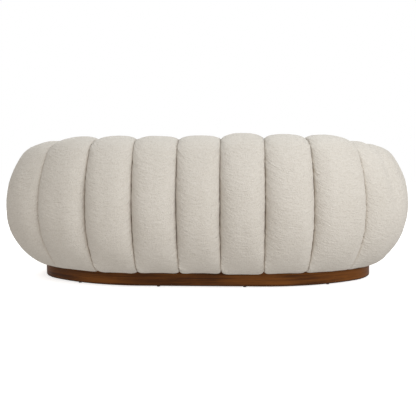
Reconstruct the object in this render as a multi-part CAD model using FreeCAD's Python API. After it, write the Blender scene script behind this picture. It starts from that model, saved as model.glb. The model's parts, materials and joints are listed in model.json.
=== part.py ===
import FreeCAD, Part

import math
import os

# All sizes are in millimetres. X runs along the sofa, -Y is the front where
# people sit down, +Y is the back and +Z is up. The origin is on the floor under
# the middle of the whole sofa. Left and right are those of a person sitting in
# it, so left is +X.

# Overall sizes of the sofa
overall_length = 2200.0
overall_depth = 1080.0
overall_height = 745.0

# How far the fullest part of the upholstery stands out past the plinth's face
body_overhang = 198.0
apron_overhang = 165.0

# The plinth: a bent timber wall in an oval, on thin glides
plinth_top = 83.0
plinth_wall = 18.0
glide_height = 4.0
glide_radius = 8.0
glides_per_side = 5
oval_end_length = 612.0
oval_tip_radius = 255.0
brace_thickness = 18.0
brace_spacing = 450.0
splice_width = 120.0
splice_thickness = 30.0
splice_height = 60.0

# The board between the plinth and the frame
base_panel_thickness = 15.0
base_panel_lip = 8.0

# Seams between the padded channels, as distances along the plinth's outline
# from the middle of the back; the last seam is as far from the middle of the front
back_seams = (100.0, 303.0, 498.0, 722.0, 974.0)
front_seam = 800.0
nose_length = 112.0
apron_count = 7

# Outline of a channel, as distance out from the plinth's face and height,
# at the full middle of the channel and at the drawn-in seam beside it
hem_out_full = 10.0
hem_out_seam = 31.0
hem_below_plinth_full = 10.0
hem_below_plinth_seam = 4.0
side_out_seam = 142.0
side_height = 376.0
crest_out_full = 0.0
crest_out_seam = 18.0
crest_drop_seam = 24.0
inside_out_full = -166.0
inside_out_seam = -140.0
inside_side_below_crest = 205.0
inside_foot_full = -152.0
inside_foot_seam = -136.0
crest_radius_full = 140.0
crest_radius_seam = 85.0
hem_radius_full = 60.0
hem_radius_seam = 60.0
inside_radius = 118.0
fullness_power = 2.2
section_spacing = 34.0

# The arms' crest is lower than the back's, which falls away from a station on the back
arm_drop = 44.0
arm_drop_start = 400.0

# Outline of an apron channel below the seat
apron_out_seam = 122.0
apron_side_height = 236.0
apron_top_drop_seam = 10.0
apron_shoulder_full = 46.0
apron_shoulder_seam = 40.0
apron_hem_radius = 60.0

# The rounded nose that closes the front of each arm
nose_plan = ((0.0, 0.0, 0.0), (0.28, 0.86, 0.02), (0.58, 0.92, 0.13), (0.84, 0.80, 0.34),
             (1.0, 0.60, 0.62))
nose_height_share = 0.36

# Timber frame inside the upholstery
frame_inside_out = -112.0
frame_top_below_crest = 183.0
frame_top_out = 62.0
frame_belly_out = 98.0
frame_belly_height = 380.0
rib_thickness = 18.0
lining_thickness = 3.4
top_rail_thickness = 18.0
top_rail_outer_edge = 50.0
rail_thickness = 28.0
rail_top = 262.0
rail_depth = 72.0
deck_end_rail_out = 560.0
front_lining_out = -12.0

# Springs, clips and tie wires of the seat deck
spring_wire_radius = 1.9
spring_half_width = 24.0
spring_bend_radius = 14.0
spring_count = 7
spring_spacing = 150.0
spring_end_length = 16.0
clip_width = 16.0
clip_length = 12.0
clip_height = 7.0
tie_wire_radius = 1.2
tie_wire_places = (-110.0, 70.0)

# Deck cloth and the pad that the loose cushion lies on
deck_cloth_thickness = 1.5
deck_pad_thickness = 29.4
deck_front_out = -20.0
deck_end_gap = 1.2

# The loose bench cushion with its zip
cushion_rear_out = -176.0
cushion_front_out = 152.0
cushion_side_gap = 48.0
cushion_ear_gap = 84.5
cushion_neck_drop = 30.0
cushion_corner_radius = 62.0
cushion_foot_round = 21.7
cushion_boxing_height = 82.0
cushion_crown_rise = 42.0
cushion_crown = ((3.0, 0.28), (12.0, 0.53), (32.0, 0.73), (80.0, 0.88), (150.0, 0.97),
                 (230.0, 1.0))
corner_bend_in = 0.27
corner_bend_up = 0.22
cushion_underside_inset = 12.0
zip_length = 440.0
zip_tape_height = 24.0
zip_tape_thickness = 1.2
zip_slider_length = 14.0
zip_slider_height = 9.0
zip_slider_thickness = 3.0
zip_pull_length = 16.0

# Small metal parts
bracket_leg = 38.0
bracket_thickness = 2.5
bracket_width = 30.0
bracket_out = -40.0
screw_shank_radius = 3.0
screw_head_radius = 6.0
screw_head_height = 3.0
screw_length = 45.0
screw_row = 180.0

# Clearances, and the smallest length and turn that count as any at all
seat_gap = 0.3
lining_gap = 0.7
hole_gap = 0.15
short_step = 0.001
straight_turn = 1e-6

# Places worked out from the sizes above
half_length = overall_length / 2 - body_overhang
half_depth = (overall_depth - body_overhang - apron_overhang) / 2
centre_y = (apron_overhang - body_overhang) / 2
straight_half = half_length - oval_end_length
base_top = plinth_top + base_panel_thickness
hem_height_full = plinth_top - hem_below_plinth_full
hem_height_seam = plinth_top - hem_below_plinth_seam
inside_side_height = overall_height - inside_side_below_crest
frame_top = overall_height - frame_top_below_crest
rib_inside_out = frame_inside_out + lining_gap + lining_thickness + seat_gap
rib_top = frame_top - seat_gap - top_rail_thickness - seat_gap
frame_foot_out = base_panel_lip + seat_gap
spring_height = rail_top + seat_gap + spring_wire_radius
tie_wire_height = spring_height + spring_wire_radius + seat_gap + tie_wire_radius
deck_cloth_foot = tie_wire_height + tie_wire_radius + seat_gap
deck_pad_foot = deck_cloth_foot + deck_cloth_thickness
deck_top = deck_pad_foot + deck_pad_thickness
cushion_foot = deck_top + seat_gap
cushion_boxing_foot = cushion_foot + cushion_foot_round
cushion_boxing_top = cushion_boxing_foot + cushion_boxing_height
cushion_top = cushion_boxing_top + cushion_crown_rise


def vector(x, y, z=0.0):
    return FreeCAD.Vector(x, y, z)


def large_radius(short, long, tip_radius):
    """Radius of the flatter arc of a quarter oval that ends in a tip arc."""
    spread = (long - tip_radius) ** 2 + short ** 2 - tip_radius ** 2
    return spread / (2 * (short - tip_radius))


def meeting_angle(short, long, tip_radius):
    """Angle, from the long axis, at which the two arcs of a quarter oval meet."""
    large = large_radius(short, long, tip_radius)
    return math.atan2(large - short, long - tip_radius)


oval_large_radius = large_radius(half_depth, oval_end_length, oval_tip_radius)
oval_meeting = meeting_angle(half_depth, oval_end_length, oval_tip_radius)
large_arc_end = straight_half + oval_large_radius * (math.pi / 2 - oval_meeting)
tip_station = large_arc_end + oval_tip_radius * oval_meeting
half_way_round = 2 * tip_station


def station(distance, out=0.0):
    """Point and outward angle on the oval, a distance along it from the back's middle."""
    if distance > half_way_round:
        distance -= 2 * half_way_round
    elif distance < -half_way_round:
        distance += 2 * half_way_round
    side = 1.0 if distance >= 0 else -1.0
    along = abs(distance)
    to_front = along > tip_station
    if to_front:
        along = half_way_round - along
    if along <= straight_half:
        x, y, angle = along, half_depth + out, math.pi / 2
    elif along <= large_arc_end:
        angle = math.pi / 2 - (along - straight_half) / oval_large_radius
        x = straight_half + (oval_large_radius + out) * math.cos(angle)
        y = half_depth - oval_large_radius + (oval_large_radius + out) * math.sin(angle)
    else:
        angle = (tip_station - along) / oval_tip_radius
        x = half_length - oval_tip_radius + (oval_tip_radius + out) * math.cos(angle)
        y = (oval_tip_radius + out) * math.sin(angle)
    if to_front:
        y, angle = -y, -angle
    if side < 0:
        x, angle = -x, math.pi - angle
    return vector(x, y + centre_y), angle


def at_station(shape, distance):
    """Moves a shape from its own frame, X outwards, to a place on the oval."""
    point, angle = station(distance)
    turn = FreeCAD.Rotation(vector(0, 0, 1), math.degrees(angle))
    placed = shape.copy()
    placed.Placement = FreeCAD.Placement(point, turn)
    return placed


def outline_edges(start, end, out, height=0.0):
    """Edges of the oval's offset outline between two distances along it."""
    turns = []
    for lap in (-2 * half_way_round, 0.0, 2 * half_way_round):
        for sign in (-1, 1):
            for corner in (straight_half, large_arc_end, half_way_round - large_arc_end,
                           half_way_round - straight_half):
                turns.append(lap + sign * corner)
    passed = [t for t in turns if start + 2 * short_step < t < end - 2 * short_step]
    stops = [start] + sorted(passed) + [end]
    lift = vector(0, 0, height)
    edges = []
    for first, last in zip(stops, stops[1:]):
        turn = station(first + short_step)[1] - station(last - short_step)[1]
        begin, finish = station(first, out)[0] + lift, station(last, out)[0] + lift
        if abs(math.sin(turn / 2)) < straight_turn:
            edges.append(Part.LineSegment(begin, finish).toShape())
        else:
            middle = station((first + last) / 2, out)[0] + lift
            edges.append(Part.Arc(begin, middle, finish).toShape())
    return edges


def oval_prism(out, foot, top):
    """Solid board in the oval's shape, offset outwards by a distance."""
    wire = Part.Wire(outline_edges(-half_way_round, half_way_round, out, foot))
    return Part.Face(wire).extrude(vector(0, 0, top - foot))


def wire_from(steps):
    """Closed wire in the XZ plane from (start, end) lines and (start, middle, end) arcs."""
    edges = []
    for step in steps:
        points = [vector(out, 0, height) for out, height in step]
        if len(points) == 2:
            edges.append(Part.LineSegment(*points).toShape())
        else:
            edges.append(Part.Arc(*points).toShape())
    return Part.Wire(edges)


def lines_through(points):
    """Steps for straight lines from each point to the next."""
    return list(zip(points, points[1:]))


def quarter_oval(end, side, tip_radius):
    """Two arcs from an end, where the curve is level, to a side, where it is upright."""
    short = abs(side[0] - end[0])
    long = abs(end[1] - side[1])
    sign_out = math.copysign(1.0, side[0] - end[0])
    sign_up = math.copysign(1.0, end[1] - side[1])
    large = large_radius(short, long, tip_radius)
    meeting = meeting_angle(short, long, tip_radius)
    tip_centre = (end[0], side[1] + sign_up * (long - tip_radius))
    large_centre = (end[0] - sign_out * (large - short), side[1])

    def on_arc(centre, radius, angle):
        return (centre[0] + sign_out * radius * math.sin(angle),
                centre[1] + sign_up * radius * math.cos(angle))

    bend = on_arc(tip_centre, tip_radius, meeting)
    tip_arc = (end, on_arc(tip_centre, tip_radius, meeting / 2), bend)
    middle = on_arc(large_centre, large, (meeting + math.pi / 2) / 2)
    return [tip_arc, (bend, middle, side)]


def backwards(steps):
    """The same steps walked from their end to their start."""
    return [tuple(reversed(step)) for step in reversed(steps)]


def between(seam, full, fullness):
    return seam + (full - seam) * fullness


def drop_at(place):
    """How much lower the crest is at a station than at the middle of the back."""
    share = (abs(place) - arm_drop_start) / (tip_station - arm_drop_start)
    share = min(max(share, 0.0), 1.0)
    return arm_drop * share * share * (3 - 2 * share)


def outer_steps(fullness, place):
    """Channel outline from the hem, out over the belly, to the crest and down inside."""
    drop = drop_at(place)
    hem = (between(hem_out_seam, hem_out_full, fullness),
           between(hem_height_seam, hem_height_full, fullness))
    side = (between(side_out_seam, body_overhang, fullness), side_height)
    crest = (between(crest_out_seam, crest_out_full, fullness),
             overall_height - drop - crest_drop_seam * (1 - fullness))
    inside = (between(inside_out_seam, inside_out_full, fullness), inside_side_height - drop)
    foot = (between(inside_foot_seam, inside_foot_full, fullness), deck_top + seat_gap)
    steps = quarter_oval(hem, side, between(hem_radius_seam, hem_radius_full, fullness))
    crest_radius = between(crest_radius_seam, crest_radius_full, fullness)
    steps += backwards(quarter_oval(crest, side, crest_radius))
    steps += quarter_oval(crest, inside, inside_radius)
    steps.append((inside, foot))
    return steps


def frame_arc(inset=0.0):
    """Arc of the frame's outer side, from its top edge down to the base panel."""
    top = (frame_top_out - inset, frame_top)
    belly = (frame_belly_out - inset, frame_belly_height)
    foot = (frame_foot_out - inset, base_top + seat_gap)
    return (top, belly, foot)


def channel_section(fullness, place):
    """Closed outline of a channel that straddles the frame."""
    steps = outer_steps(fullness, place)
    hem, foot = steps[0][0], steps[-1][-1]
    top, belly, low = frame_arc()
    steps += lines_through([foot, (frame_inside_out, foot[1]), (frame_inside_out, top[1]), top])
    steps.append((top, belly, low))
    steps += lines_through([low, (low[0], hem_height_seam), hem])
    return wire_from(steps)


def loft_channel(start, end, section):
    """Padded channel between two seams, fullest halfway."""
    pairs = max(2, round(abs(end - start) / section_spacing / 2))
    sections = []
    for index in range(2 * pairs + 1):
        share = index / (2 * pairs)
        place = start + (end - start) * share
        fullness = 1 - abs(2 * share - 1) ** fullness_power
        sections.append(at_station(section(fullness, place), place))
    return Part.makeLoft(sections, True, False)


def apron_section(fullness, place):
    """Closed outline of a short channel below the seat, the same at every place."""
    hem = (between(hem_out_seam, hem_out_full, fullness),
           between(hem_height_seam, hem_height_full, fullness))
    side = (between(apron_out_seam, apron_overhang, fullness), apron_side_height)
    top_height = deck_top - seat_gap - apron_top_drop_seam * (1 - fullness)
    shoulder = between(apron_shoulder_seam, apron_shoulder_full, fullness)
    top = (side[0] - shoulder, top_height)
    bend = (side[0] - shoulder * (1 - math.sqrt(0.5)),
            side[1] + (top_height - side[1]) * math.sqrt(0.5))
    steps = quarter_oval(hem, side, apron_hem_radius)
    steps.append((side, bend, top))
    steps += lining_steps(top, hem)
    return wire_from(steps)


def lining_steps(top, hem):
    """Lines from a section's top, down the front lining and round the base panel's edge."""
    back = front_lining_out + seat_gap
    return lines_through([
        top, (back, top[1]), (back, base_top + seat_gap),
        (frame_foot_out, base_top + seat_gap), (frame_foot_out, hem_height_seam), hem])


def arm_end_section(fullness, shrink, place):
    """Solid outline of the arm's nose, drawn in by a share towards the front lining."""
    steps = outer_steps(fullness, place)
    seat = steps[-1][-1][1]

    def drawn(point):
        out, height = point
        out = hem_out_full + (out - hem_out_full) * (1 - shrink)
        if height > seat:
            height = seat + (height - seat) * (1 - shrink * nose_height_share)
        return (out, height)

    steps = [tuple(drawn(point) for point in step) for step in steps]
    steps += lining_steps(steps[-1][-1], steps[0][0])
    return wire_from(steps)


def nose(side):
    """Rounded end of an arm, from the last seam to its tip."""
    seam = half_way_round - front_seam
    sections = []
    for share, fullness, shrink in nose_plan:
        place = side * (seam + nose_length * share)
        sections.append(at_station(arm_end_section(fullness, shrink, place), place))
    return Part.makeLoft(sections, True, False)


def swept(section_steps, start, end):
    """Solid that carries one section along the oval between two stations."""
    section = at_station(wire_from(section_steps), start)
    path = Part.Wire(outline_edges(start, end, 0.0))
    return path.makePipeShell([section], True, True)


def rectangle(inner, outer, foot, top):
    """Steps of a rectangular section."""
    return lines_through([(inner, foot), (outer, foot), (outer, top), (inner, top), (inner, foot)])


def save(name, shape):
    """Writes one sub-part and says what it is made of."""
    shape.exportStep("parts/" + name + ".step")
    print(name, len(shape.Solids), round(shape.Volume), shape.isValid())


def all_seams():
    """Distances of one side's seams, from the back to the front of the arm."""
    last = half_way_round - front_seam
    middle = (back_seams[-1] + last) / 2
    return list(back_seams) + [middle, last]


def write_channels():
    """The full-height padded channels round the back and the arms."""
    save("channel_back_centre", loft_channel(-back_seams[0], back_seams[0], channel_section))
    names = ("back_{}_inner", "back_{}_outer", "corner_{}_inner", "corner_{}_outer",
             "arm_{}_rear", "arm_{}_front")
    seams = all_seams()
    for side, word in ((1, "left"), (-1, "right")):
        for name, start, end in zip(names, seams, seams[1:]):
            shape = loft_channel(side * start, side * end, channel_section)
            save("channel_" + name.format(word), shape)
        save("arm_nose_" + word, nose(side))


def write_aprons():
    """The short padded channels across the front, below the seat."""
    start = half_way_round - front_seam + nose_length
    pitch = 2 * (half_way_round - start) / apron_count
    for index in range(apron_count):
        first = start + pitch * index
        save("apron_channel_" + str(index + 1), loft_channel(first, first + pitch, apron_section))


def write_plinth():
    """The bent oval wall in two halves, its braces, splices and glides."""
    wall = rectangle(-plinth_wall, 0.0, glide_height, plinth_top)
    save("plinth_wall_rear", swept(wall, -tip_station, tip_station))
    save("plinth_wall_front", swept(wall, tip_station, 2 * half_way_round - tip_station))
    room = oval_prism(-plinth_wall - seat_gap, glide_height, plinth_top)
    for place, word in ((brace_spacing, "left"), (0.0, "centre"), (-brace_spacing, "right")):
        brace = Part.makeBox(brace_thickness, overall_depth, plinth_top - glide_height,
                             vector(place - brace_thickness / 2, -overall_depth / 2, glide_height))
        brace = brace.common(room)
        for hole in screw_holes(place):
            brace = brace.cut(hole)
        save("plinth_brace_" + word, brace)
    blocks = []
    for side in (-1, 1):
        block = Part.makeBox(splice_thickness, splice_width, splice_height,
                             vector(-plinth_wall - splice_thickness, -splice_width / 2,
                                    plinth_top - splice_height))
        blocks.append(at_station(block, side * tip_station).common(room))
    save("plinth_splices", Part.makeCompound(blocks))
    glides = []
    pitch = half_way_round / glides_per_side
    for side in (-1, 1):
        for index in range(glides_per_side):
            spot = station(side * pitch * (index + 0.5), -plinth_wall / 2)[0]
            glides.append(Part.makeCylinder(glide_radius, glide_height, spot))
    save("glides", Part.makeCompound(glides))


def screw_places(brace_place):
    """Where the two screws through the base panel go into a brace."""
    return [vector(brace_place, centre_y + sign * screw_row, base_top) for sign in (-1, 1)]


def screw_holes(brace_place):
    """Room for the screws' shanks."""
    radius = screw_shank_radius + hole_gap
    holes = []
    for place in screw_places(brace_place):
        foot = place - vector(0, 0, screw_length + seat_gap)
        holes.append(Part.makeCylinder(radius, screw_length + seat_gap, foot))
    return holes


def write_base():
    """The base panel and the screws that hold it to the plinth's braces."""
    panel = oval_prism(base_panel_lip, plinth_top, base_top)
    screws = []
    for place in (-brace_spacing, 0.0, brace_spacing):
        for hole in screw_holes(place):
            panel = panel.cut(hole)
        for spot in screw_places(place):
            shank = Part.makeCylinder(screw_shank_radius, screw_length,
                                      spot - vector(0, 0, screw_length))
            head = Part.makeCylinder(screw_head_radius, screw_head_height, spot)
            screws.append(shank.fuse(head).removeSplitter())
    save("base_panel", panel)
    save("plinth_screws", Part.makeCompound(screws))


def rib_plate(distance, shift=0.0):
    """Plywood rib across the frame at a seam."""
    centre_out, radius = arc_centre(frame_arc(lining_gap + lining_thickness + seat_gap))
    start = (on_frame_arc(centre_out, radius, rib_top), rib_top)
    middle_height = (rib_top + base_top) / 2
    middle = (on_frame_arc(centre_out, radius, middle_height), middle_height)
    low = (on_frame_arc(centre_out, radius, base_top), base_top)
    steps = lines_through([low, (rib_inside_out, base_top), (rib_inside_out, rib_top), start])
    steps.append((start, middle, low))
    face = Part.Face(wire_from(steps))
    face.translate(vector(0, shift - rib_thickness / 2, 0))
    return at_station(face.extrude(vector(0, rib_thickness, 0)), distance)


def arc_centre(arc):
    """Centre and radius of the circle through an arc's three points."""
    points = [vector(out, 0, height) for out, height in arc]
    circle = Part.Arc(*points).toShape().Curve
    return (circle.Center.x, circle.Center.z), circle.Radius


def on_frame_arc(centre, radius, height):
    """How far out the frame's side is at a height."""
    return centre[0] + math.sqrt(radius ** 2 - (height - centre[1]) ** 2)


def write_frame():
    """Ribs, top rails and the thin boards that line the frame."""
    seams = all_seams()
    back = [rib_plate(side * seam) for side in (-1, 1) for seam in seams[:2]]
    save("ribs_back", Part.makeCompound(back))
    end = seams[-1]
    stretches = (("back", -seams[2], seams[2]), ("left", seams[2], end), ("right", -end, -seams[2]))
    for side, word in ((1, "left"), (-1, "right")):
        ribs = [rib_plate(side * seam) for seam in seams[2:-1]]
        ribs.append(rib_plate(side * end, side * (rib_thickness / 2 + seat_gap)))
        save("ribs_" + word, Part.makeCompound(ribs))
    outer_arc = frame_arc(lining_gap)
    inner_arc = frame_arc(lining_gap + lining_thickness)
    outer = [outer_arc, (outer_arc[2], inner_arc[2]), tuple(reversed(inner_arc)),
             (inner_arc[0], outer_arc[0])]
    inside = rectangle(frame_inside_out + lining_gap,
                       frame_inside_out + lining_gap + lining_thickness,
                       deck_top + seat_gap, frame_top - seat_gap)
    rail = rectangle(rib_inside_out, top_rail_outer_edge, rib_top + seat_gap, frame_top - seat_gap)
    for word, start, stop in stretches:
        save("outer_lining_" + word, swept(outer, start, stop))
        save("inside_lining_" + word, swept(inside, start, stop))
        save("top_rail_" + word, swept(rail, start, stop))
    write_brackets(seams)


def write_brackets(seams):
    """Steel angles that hold the ribs' feet to the base panel."""
    flat = Part.makeBox(bracket_width, bracket_leg, bracket_thickness,
                        vector(bracket_out, 0, base_top))
    upright = Part.makeBox(bracket_width, bracket_thickness, bracket_leg,
                           vector(bracket_out, 0, base_top))
    angle = flat.fuse(upright).removeSplitter()
    brackets = []
    for side in (-1, 1):
        for seam in seams[:-1]:
            leg = angle.copy()
            if side < 0:
                leg = leg.mirror(vector(0, 0, 0), vector(0, 1, 0))
            leg.translate(vector(0, side * rib_thickness / 2, 0))
            brackets.append(at_station(Part.makeCompound([leg]), side * seam))
    save("rib_brackets", Part.makeCompound(brackets))


def inside_y(x, out):
    """Half depth of the offset oval at a distance along X."""
    reach = max(abs(x) - straight_half, 0.0)
    radius = oval_large_radius + out
    return half_depth - oval_large_radius + math.sqrt(radius ** 2 - reach ** 2)


def front_stretch():
    """Stations of the front between the two noses' seams."""
    start = half_way_round - front_seam + seat_gap
    return start, 2 * half_way_round - start


def write_deck_frame():
    """The rails that carry the springs, and the board behind the apron channels."""
    start, stop = front_stretch()
    lining = rectangle(front_lining_out - lining_thickness, front_lining_out, base_top,
                       deck_top - apron_top_drop_seam - seat_gap)
    save("front_lining", swept(lining, start, stop))
    rail_outer = front_lining_out - lining_thickness - seat_gap
    rail_inner = rail_outer - rail_thickness
    save("front_rail", swept(rectangle(rail_inner, rail_outer, base_top, rail_top), start, stop))
    rear_outer = rib_inside_out - seat_gap
    rear_inner = rear_outer - rail_thickness
    rear = rectangle(rear_inner, rear_outer, rail_top - rail_depth, rail_top)
    save("rear_rail", swept(rear, -back_seams[2], back_seams[2]))
    reach = deck_end_rail_out + rail_thickness / 2
    front_y = centre_y - inside_y(reach, rail_inner) + seat_gap
    rear_y = centre_y + inside_y(reach, rear_outer)
    for side, word in ((1, "left"), (-1, "right")):
        corner = vector(side * deck_end_rail_out - rail_thickness / 2, front_y, rail_top - rail_depth)
        rail = Part.makeBox(rail_thickness, rear_y - front_y, rail_depth, corner)
        save("deck_end_rail_" + word, rail)
    write_springs(rail_inner, rear_inner)


def spring_wire_path(x, front, rear):
    """Zigzag centre line of one spring, from its front end to its rear end."""
    room = rear - front - 2 * spring_end_length
    pairs = int(room / (4 * spring_bend_radius))
    bars = 2 * pairs
    lead = (rear - front - bars * 2 * spring_bend_radius) / 2
    run = spring_half_width - spring_bend_radius
    bend = spring_bend_radius
    edges = []
    here = vector(x, front, spring_height)

    def go(point):
        nonlocal here
        edges.append(Part.LineSegment(here, point).toShape())
        here = point

    def turn(middle, point):
        nonlocal here
        edges.append(Part.Arc(here, middle, point).toShape())
        here = point

    slant = bend * math.sqrt(0.5)
    y = front + lead
    go(vector(x, y - bend, spring_height))
    turn(vector(x + bend - slant, y - bend + slant, spring_height),
         vector(x + bend, y, spring_height))
    side = 1
    for index in range(bars):
        go(vector(x + side * run, y, spring_height))
        turn(vector(x + side * (run + bend), y + bend, spring_height),
             vector(x + side * run, y + 2 * bend, spring_height))
        y += 2 * bend
        side = -side
    go(vector(x + side * bend, y, spring_height))
    turn(vector(x + side * (bend - slant), y + bend - slant, spring_height),
         vector(x, y + bend, spring_height))
    go(vector(x, rear, spring_height))
    return Part.Wire(edges)


def write_springs(rail_inner, rear_inner):
    """Zigzag springs front to back, the clips on the rails and two tie wires."""
    springs = []
    clips = []
    reach = rail_thickness / 2
    for index in range(spring_count):
        x = (index - (spring_count - 1) / 2) * spring_spacing
        front = centre_y - inside_y(x, rail_inner) - reach
        rear = centre_y + inside_y(x, rear_inner) + reach
        path = spring_wire_path(x, front, rear)
        start = vector(x, front, spring_height)
        ring = Part.Circle(start, vector(0, 1, 0), spring_wire_radius).toShape()
        springs.append(path.makePipeShell([Part.Wire([ring])], True, True))
        for end, sign in ((front, 1), (rear, -1)):
            clip = Part.makeBox(clip_width, clip_length, clip_height,
                                vector(x - clip_width / 2, end - clip_length / 2, rail_top))
            hole = Part.makeCylinder(spring_wire_radius + hole_gap, 2 * clip_length,
                                     vector(x, end - clip_length, spring_height), vector(0, 1, 0))
            clips.append(clip.cut(hole))
    save("zigzag_springs", Part.makeCompound(springs))
    save("spring_clips", Part.makeCompound(clips))
    length = (spring_count - 1) * spring_spacing + 2 * spring_half_width
    ties = [Part.makeCylinder(tie_wire_radius, length, vector(-length / 2, place, tie_wire_height),
                              vector(1, 0, 0)) for place in tie_wire_places]
    save("tie_wires", Part.makeCompound(ties))


def deck_wire(rear_out, front_out, height):
    """Outline of the deck: the well between the arms, and the front between the noses."""
    well_end = half_way_round - front_seam + deck_end_gap
    rear = outline_edges(-well_end, well_end, rear_out, height)
    front = outline_edges(well_end, 2 * half_way_round - well_end, front_out, height)
    ends = [rear[-1].Vertexes[-1].Point, front[0].Vertexes[0].Point,
            front[-1].Vertexes[-1].Point, rear[0].Vertexes[0].Point]
    join = Part.LineSegment(ends[0], ends[1]).toShape()
    close = Part.LineSegment(ends[2], ends[3]).toShape()
    return Part.Wire(rear + [join] + front + [close])


def write_deck():
    """The cloth over the springs and the pad over the cloth."""
    rear_out = frame_inside_out - lining_thickness
    cloth = Part.Face(deck_wire(rear_out, deck_front_out, deck_cloth_foot))
    save("deck_cloth", cloth.extrude(vector(0, 0, deck_cloth_thickness)))
    pad = Part.Face(deck_wire(rear_out, deck_front_out, deck_pad_foot))
    save("deck_pad", pad.extrude(vector(0, 0, deck_top - deck_pad_foot)))


def cushion_half_width():
    """Half width of the cushion's front, which clears the tips of the arms' noses."""
    return station(half_way_round - front_seam + nose_length)[0].x - cushion_side_gap


def cushion_outline():
    """Plan outline of the loose cushion, as lines of two points and arcs of three."""
    steps = []
    well_end = half_way_round - front_seam - cushion_ear_gap
    for edge in outline_edges(-well_end, well_end, cushion_rear_out):
        start, end = edge.Vertexes[0].Point, edge.Vertexes[-1].Point
        middle = edge.valueAt((edge.FirstParameter + edge.LastParameter) / 2)
        straight = edge.Curve.TypeId == "Part::GeomLine"
        steps.append((start, end) if straight else (start, middle, end))
    side_start = steps[-1][-1]
    half_width = cushion_half_width()
    corner = cushion_corner_radius
    front_y = centre_y - inside_y(half_width, cushion_front_out)
    edge_x = half_width - corner
    edge_y = centre_y - inside_y(edge_x, cushion_front_out)
    neck = vector(half_width, side_start.y - cushion_neck_drop)
    before = vector(half_width, front_y + corner)
    bend = vector(half_width - corner * corner_bend_in, front_y + corner * corner_bend_up)
    after = vector(edge_x, edge_y)
    middle = vector(0, centre_y - half_depth - cushion_front_out)

    def across(point):
        return vector(-point.x, point.y)

    steps += [(side_start, neck), (neck, before), (before, bend, after),
              (after, middle, across(after)), (across(after), across(bend), across(before)),
              (across(before), across(neck)), (across(neck), across(side_start))]
    return steps


def cushion_wire(inset, height):
    """The cushion's outline at a height, drawn in towards its middle."""
    front = centre_y - half_depth - cushion_front_out
    rear = centre_y + half_depth + cushion_rear_out
    middle_y = (front + rear) / 2
    share_x = 1 - inset / (half_length + cushion_rear_out)
    share_y = 1 - inset / ((rear - front) / 2)
    edges = []
    for step in cushion_outline():
        points = [vector(p.x * share_x, middle_y + (p.y - middle_y) * share_y, height) for p in step]
        curve = Part.LineSegment(*points) if len(points) == 2 else Part.Arc(*points)
        edges.append(curve.toShape())
    return Part.Wire(edges)


def write_cushion():
    """The loose bench cushion: an upright boxing band with a crowned top and a rounded foot."""
    boxing = Part.Face(cushion_wire(0.0, cushion_boxing_foot))
    boxing = boxing.extrude(vector(0, 0, cushion_boxing_top - cushion_boxing_foot))
    rise = cushion_top - cushion_boxing_top
    crown = [cushion_wire(0.0, cushion_boxing_top)]
    for inset, share in cushion_crown:
        crown.append(cushion_wire(inset, cushion_boxing_top + rise * share))
    crown = Part.makeLoft(crown, True, False)
    under = Part.makeLoft([cushion_wire(cushion_underside_inset, cushion_foot),
                           cushion_wire(0.0, cushion_boxing_foot)], True, True)
    save("seat_cushion", boxing.fuse(crown).fuse(under).removeSplitter())
    write_zip()


def write_zip():
    """The zip along the back of the cushion's boxing, and the slider that opens it."""
    face_y = centre_y + half_depth + cushion_rear_out
    middle = (cushion_boxing_foot + cushion_boxing_top) / 2
    tape = Part.makeBox(zip_length, zip_tape_thickness, zip_tape_height,
                        vector(-zip_length / 2, face_y, middle - zip_tape_height / 2))
    save("zip_tape", tape)
    front = face_y + zip_tape_thickness + seat_gap
    start = -zip_length / 2 + zip_slider_length
    body = Part.makeBox(zip_slider_length, zip_slider_thickness, zip_slider_height,
                        vector(start, front, middle - zip_slider_height / 2))
    pull = Part.makeBox(zip_slider_length / 3, zip_slider_thickness / 2, zip_pull_length,
                        vector(start + zip_slider_length / 3, front,
                               middle - zip_slider_height / 2 - zip_pull_length))
    save("zip_slider", body.fuse(pull).removeSplitter())


os.makedirs("parts", exist_ok=True)
write_plinth()
write_base()
write_frame()
write_deck_frame()
write_deck()
write_cushion()
write_channels()
write_aprons()
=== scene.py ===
import json
import logging
import math
from dataclasses import dataclass
from enum import Enum

import bpy
import numpy as np
from mathutils import Matrix, Vector


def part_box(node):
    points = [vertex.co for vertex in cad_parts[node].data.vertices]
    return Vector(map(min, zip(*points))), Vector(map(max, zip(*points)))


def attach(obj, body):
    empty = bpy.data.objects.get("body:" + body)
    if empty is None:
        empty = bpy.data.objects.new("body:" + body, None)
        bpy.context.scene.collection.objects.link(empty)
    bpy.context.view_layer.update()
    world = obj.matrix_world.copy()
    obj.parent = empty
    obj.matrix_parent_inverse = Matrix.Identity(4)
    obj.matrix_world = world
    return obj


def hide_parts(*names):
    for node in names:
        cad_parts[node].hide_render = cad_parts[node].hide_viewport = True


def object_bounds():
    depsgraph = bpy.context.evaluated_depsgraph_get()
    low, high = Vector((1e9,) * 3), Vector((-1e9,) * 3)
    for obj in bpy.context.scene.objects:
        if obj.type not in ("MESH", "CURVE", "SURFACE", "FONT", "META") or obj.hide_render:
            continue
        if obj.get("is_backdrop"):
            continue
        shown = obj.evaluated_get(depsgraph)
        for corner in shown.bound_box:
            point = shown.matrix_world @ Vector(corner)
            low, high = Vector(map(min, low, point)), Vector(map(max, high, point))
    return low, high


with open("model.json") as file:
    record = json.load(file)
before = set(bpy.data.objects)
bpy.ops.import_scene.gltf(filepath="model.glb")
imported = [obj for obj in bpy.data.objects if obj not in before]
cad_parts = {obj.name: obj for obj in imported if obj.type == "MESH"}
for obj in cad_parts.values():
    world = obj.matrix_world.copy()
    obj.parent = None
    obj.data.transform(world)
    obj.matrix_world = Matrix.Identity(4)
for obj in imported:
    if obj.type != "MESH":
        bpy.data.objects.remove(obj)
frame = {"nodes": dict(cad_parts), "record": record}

Pair = tuple[float, float]
Triple = tuple[float, float, float]
Colour = Triple
Socket = bpy.types.NodeSocket

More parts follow.
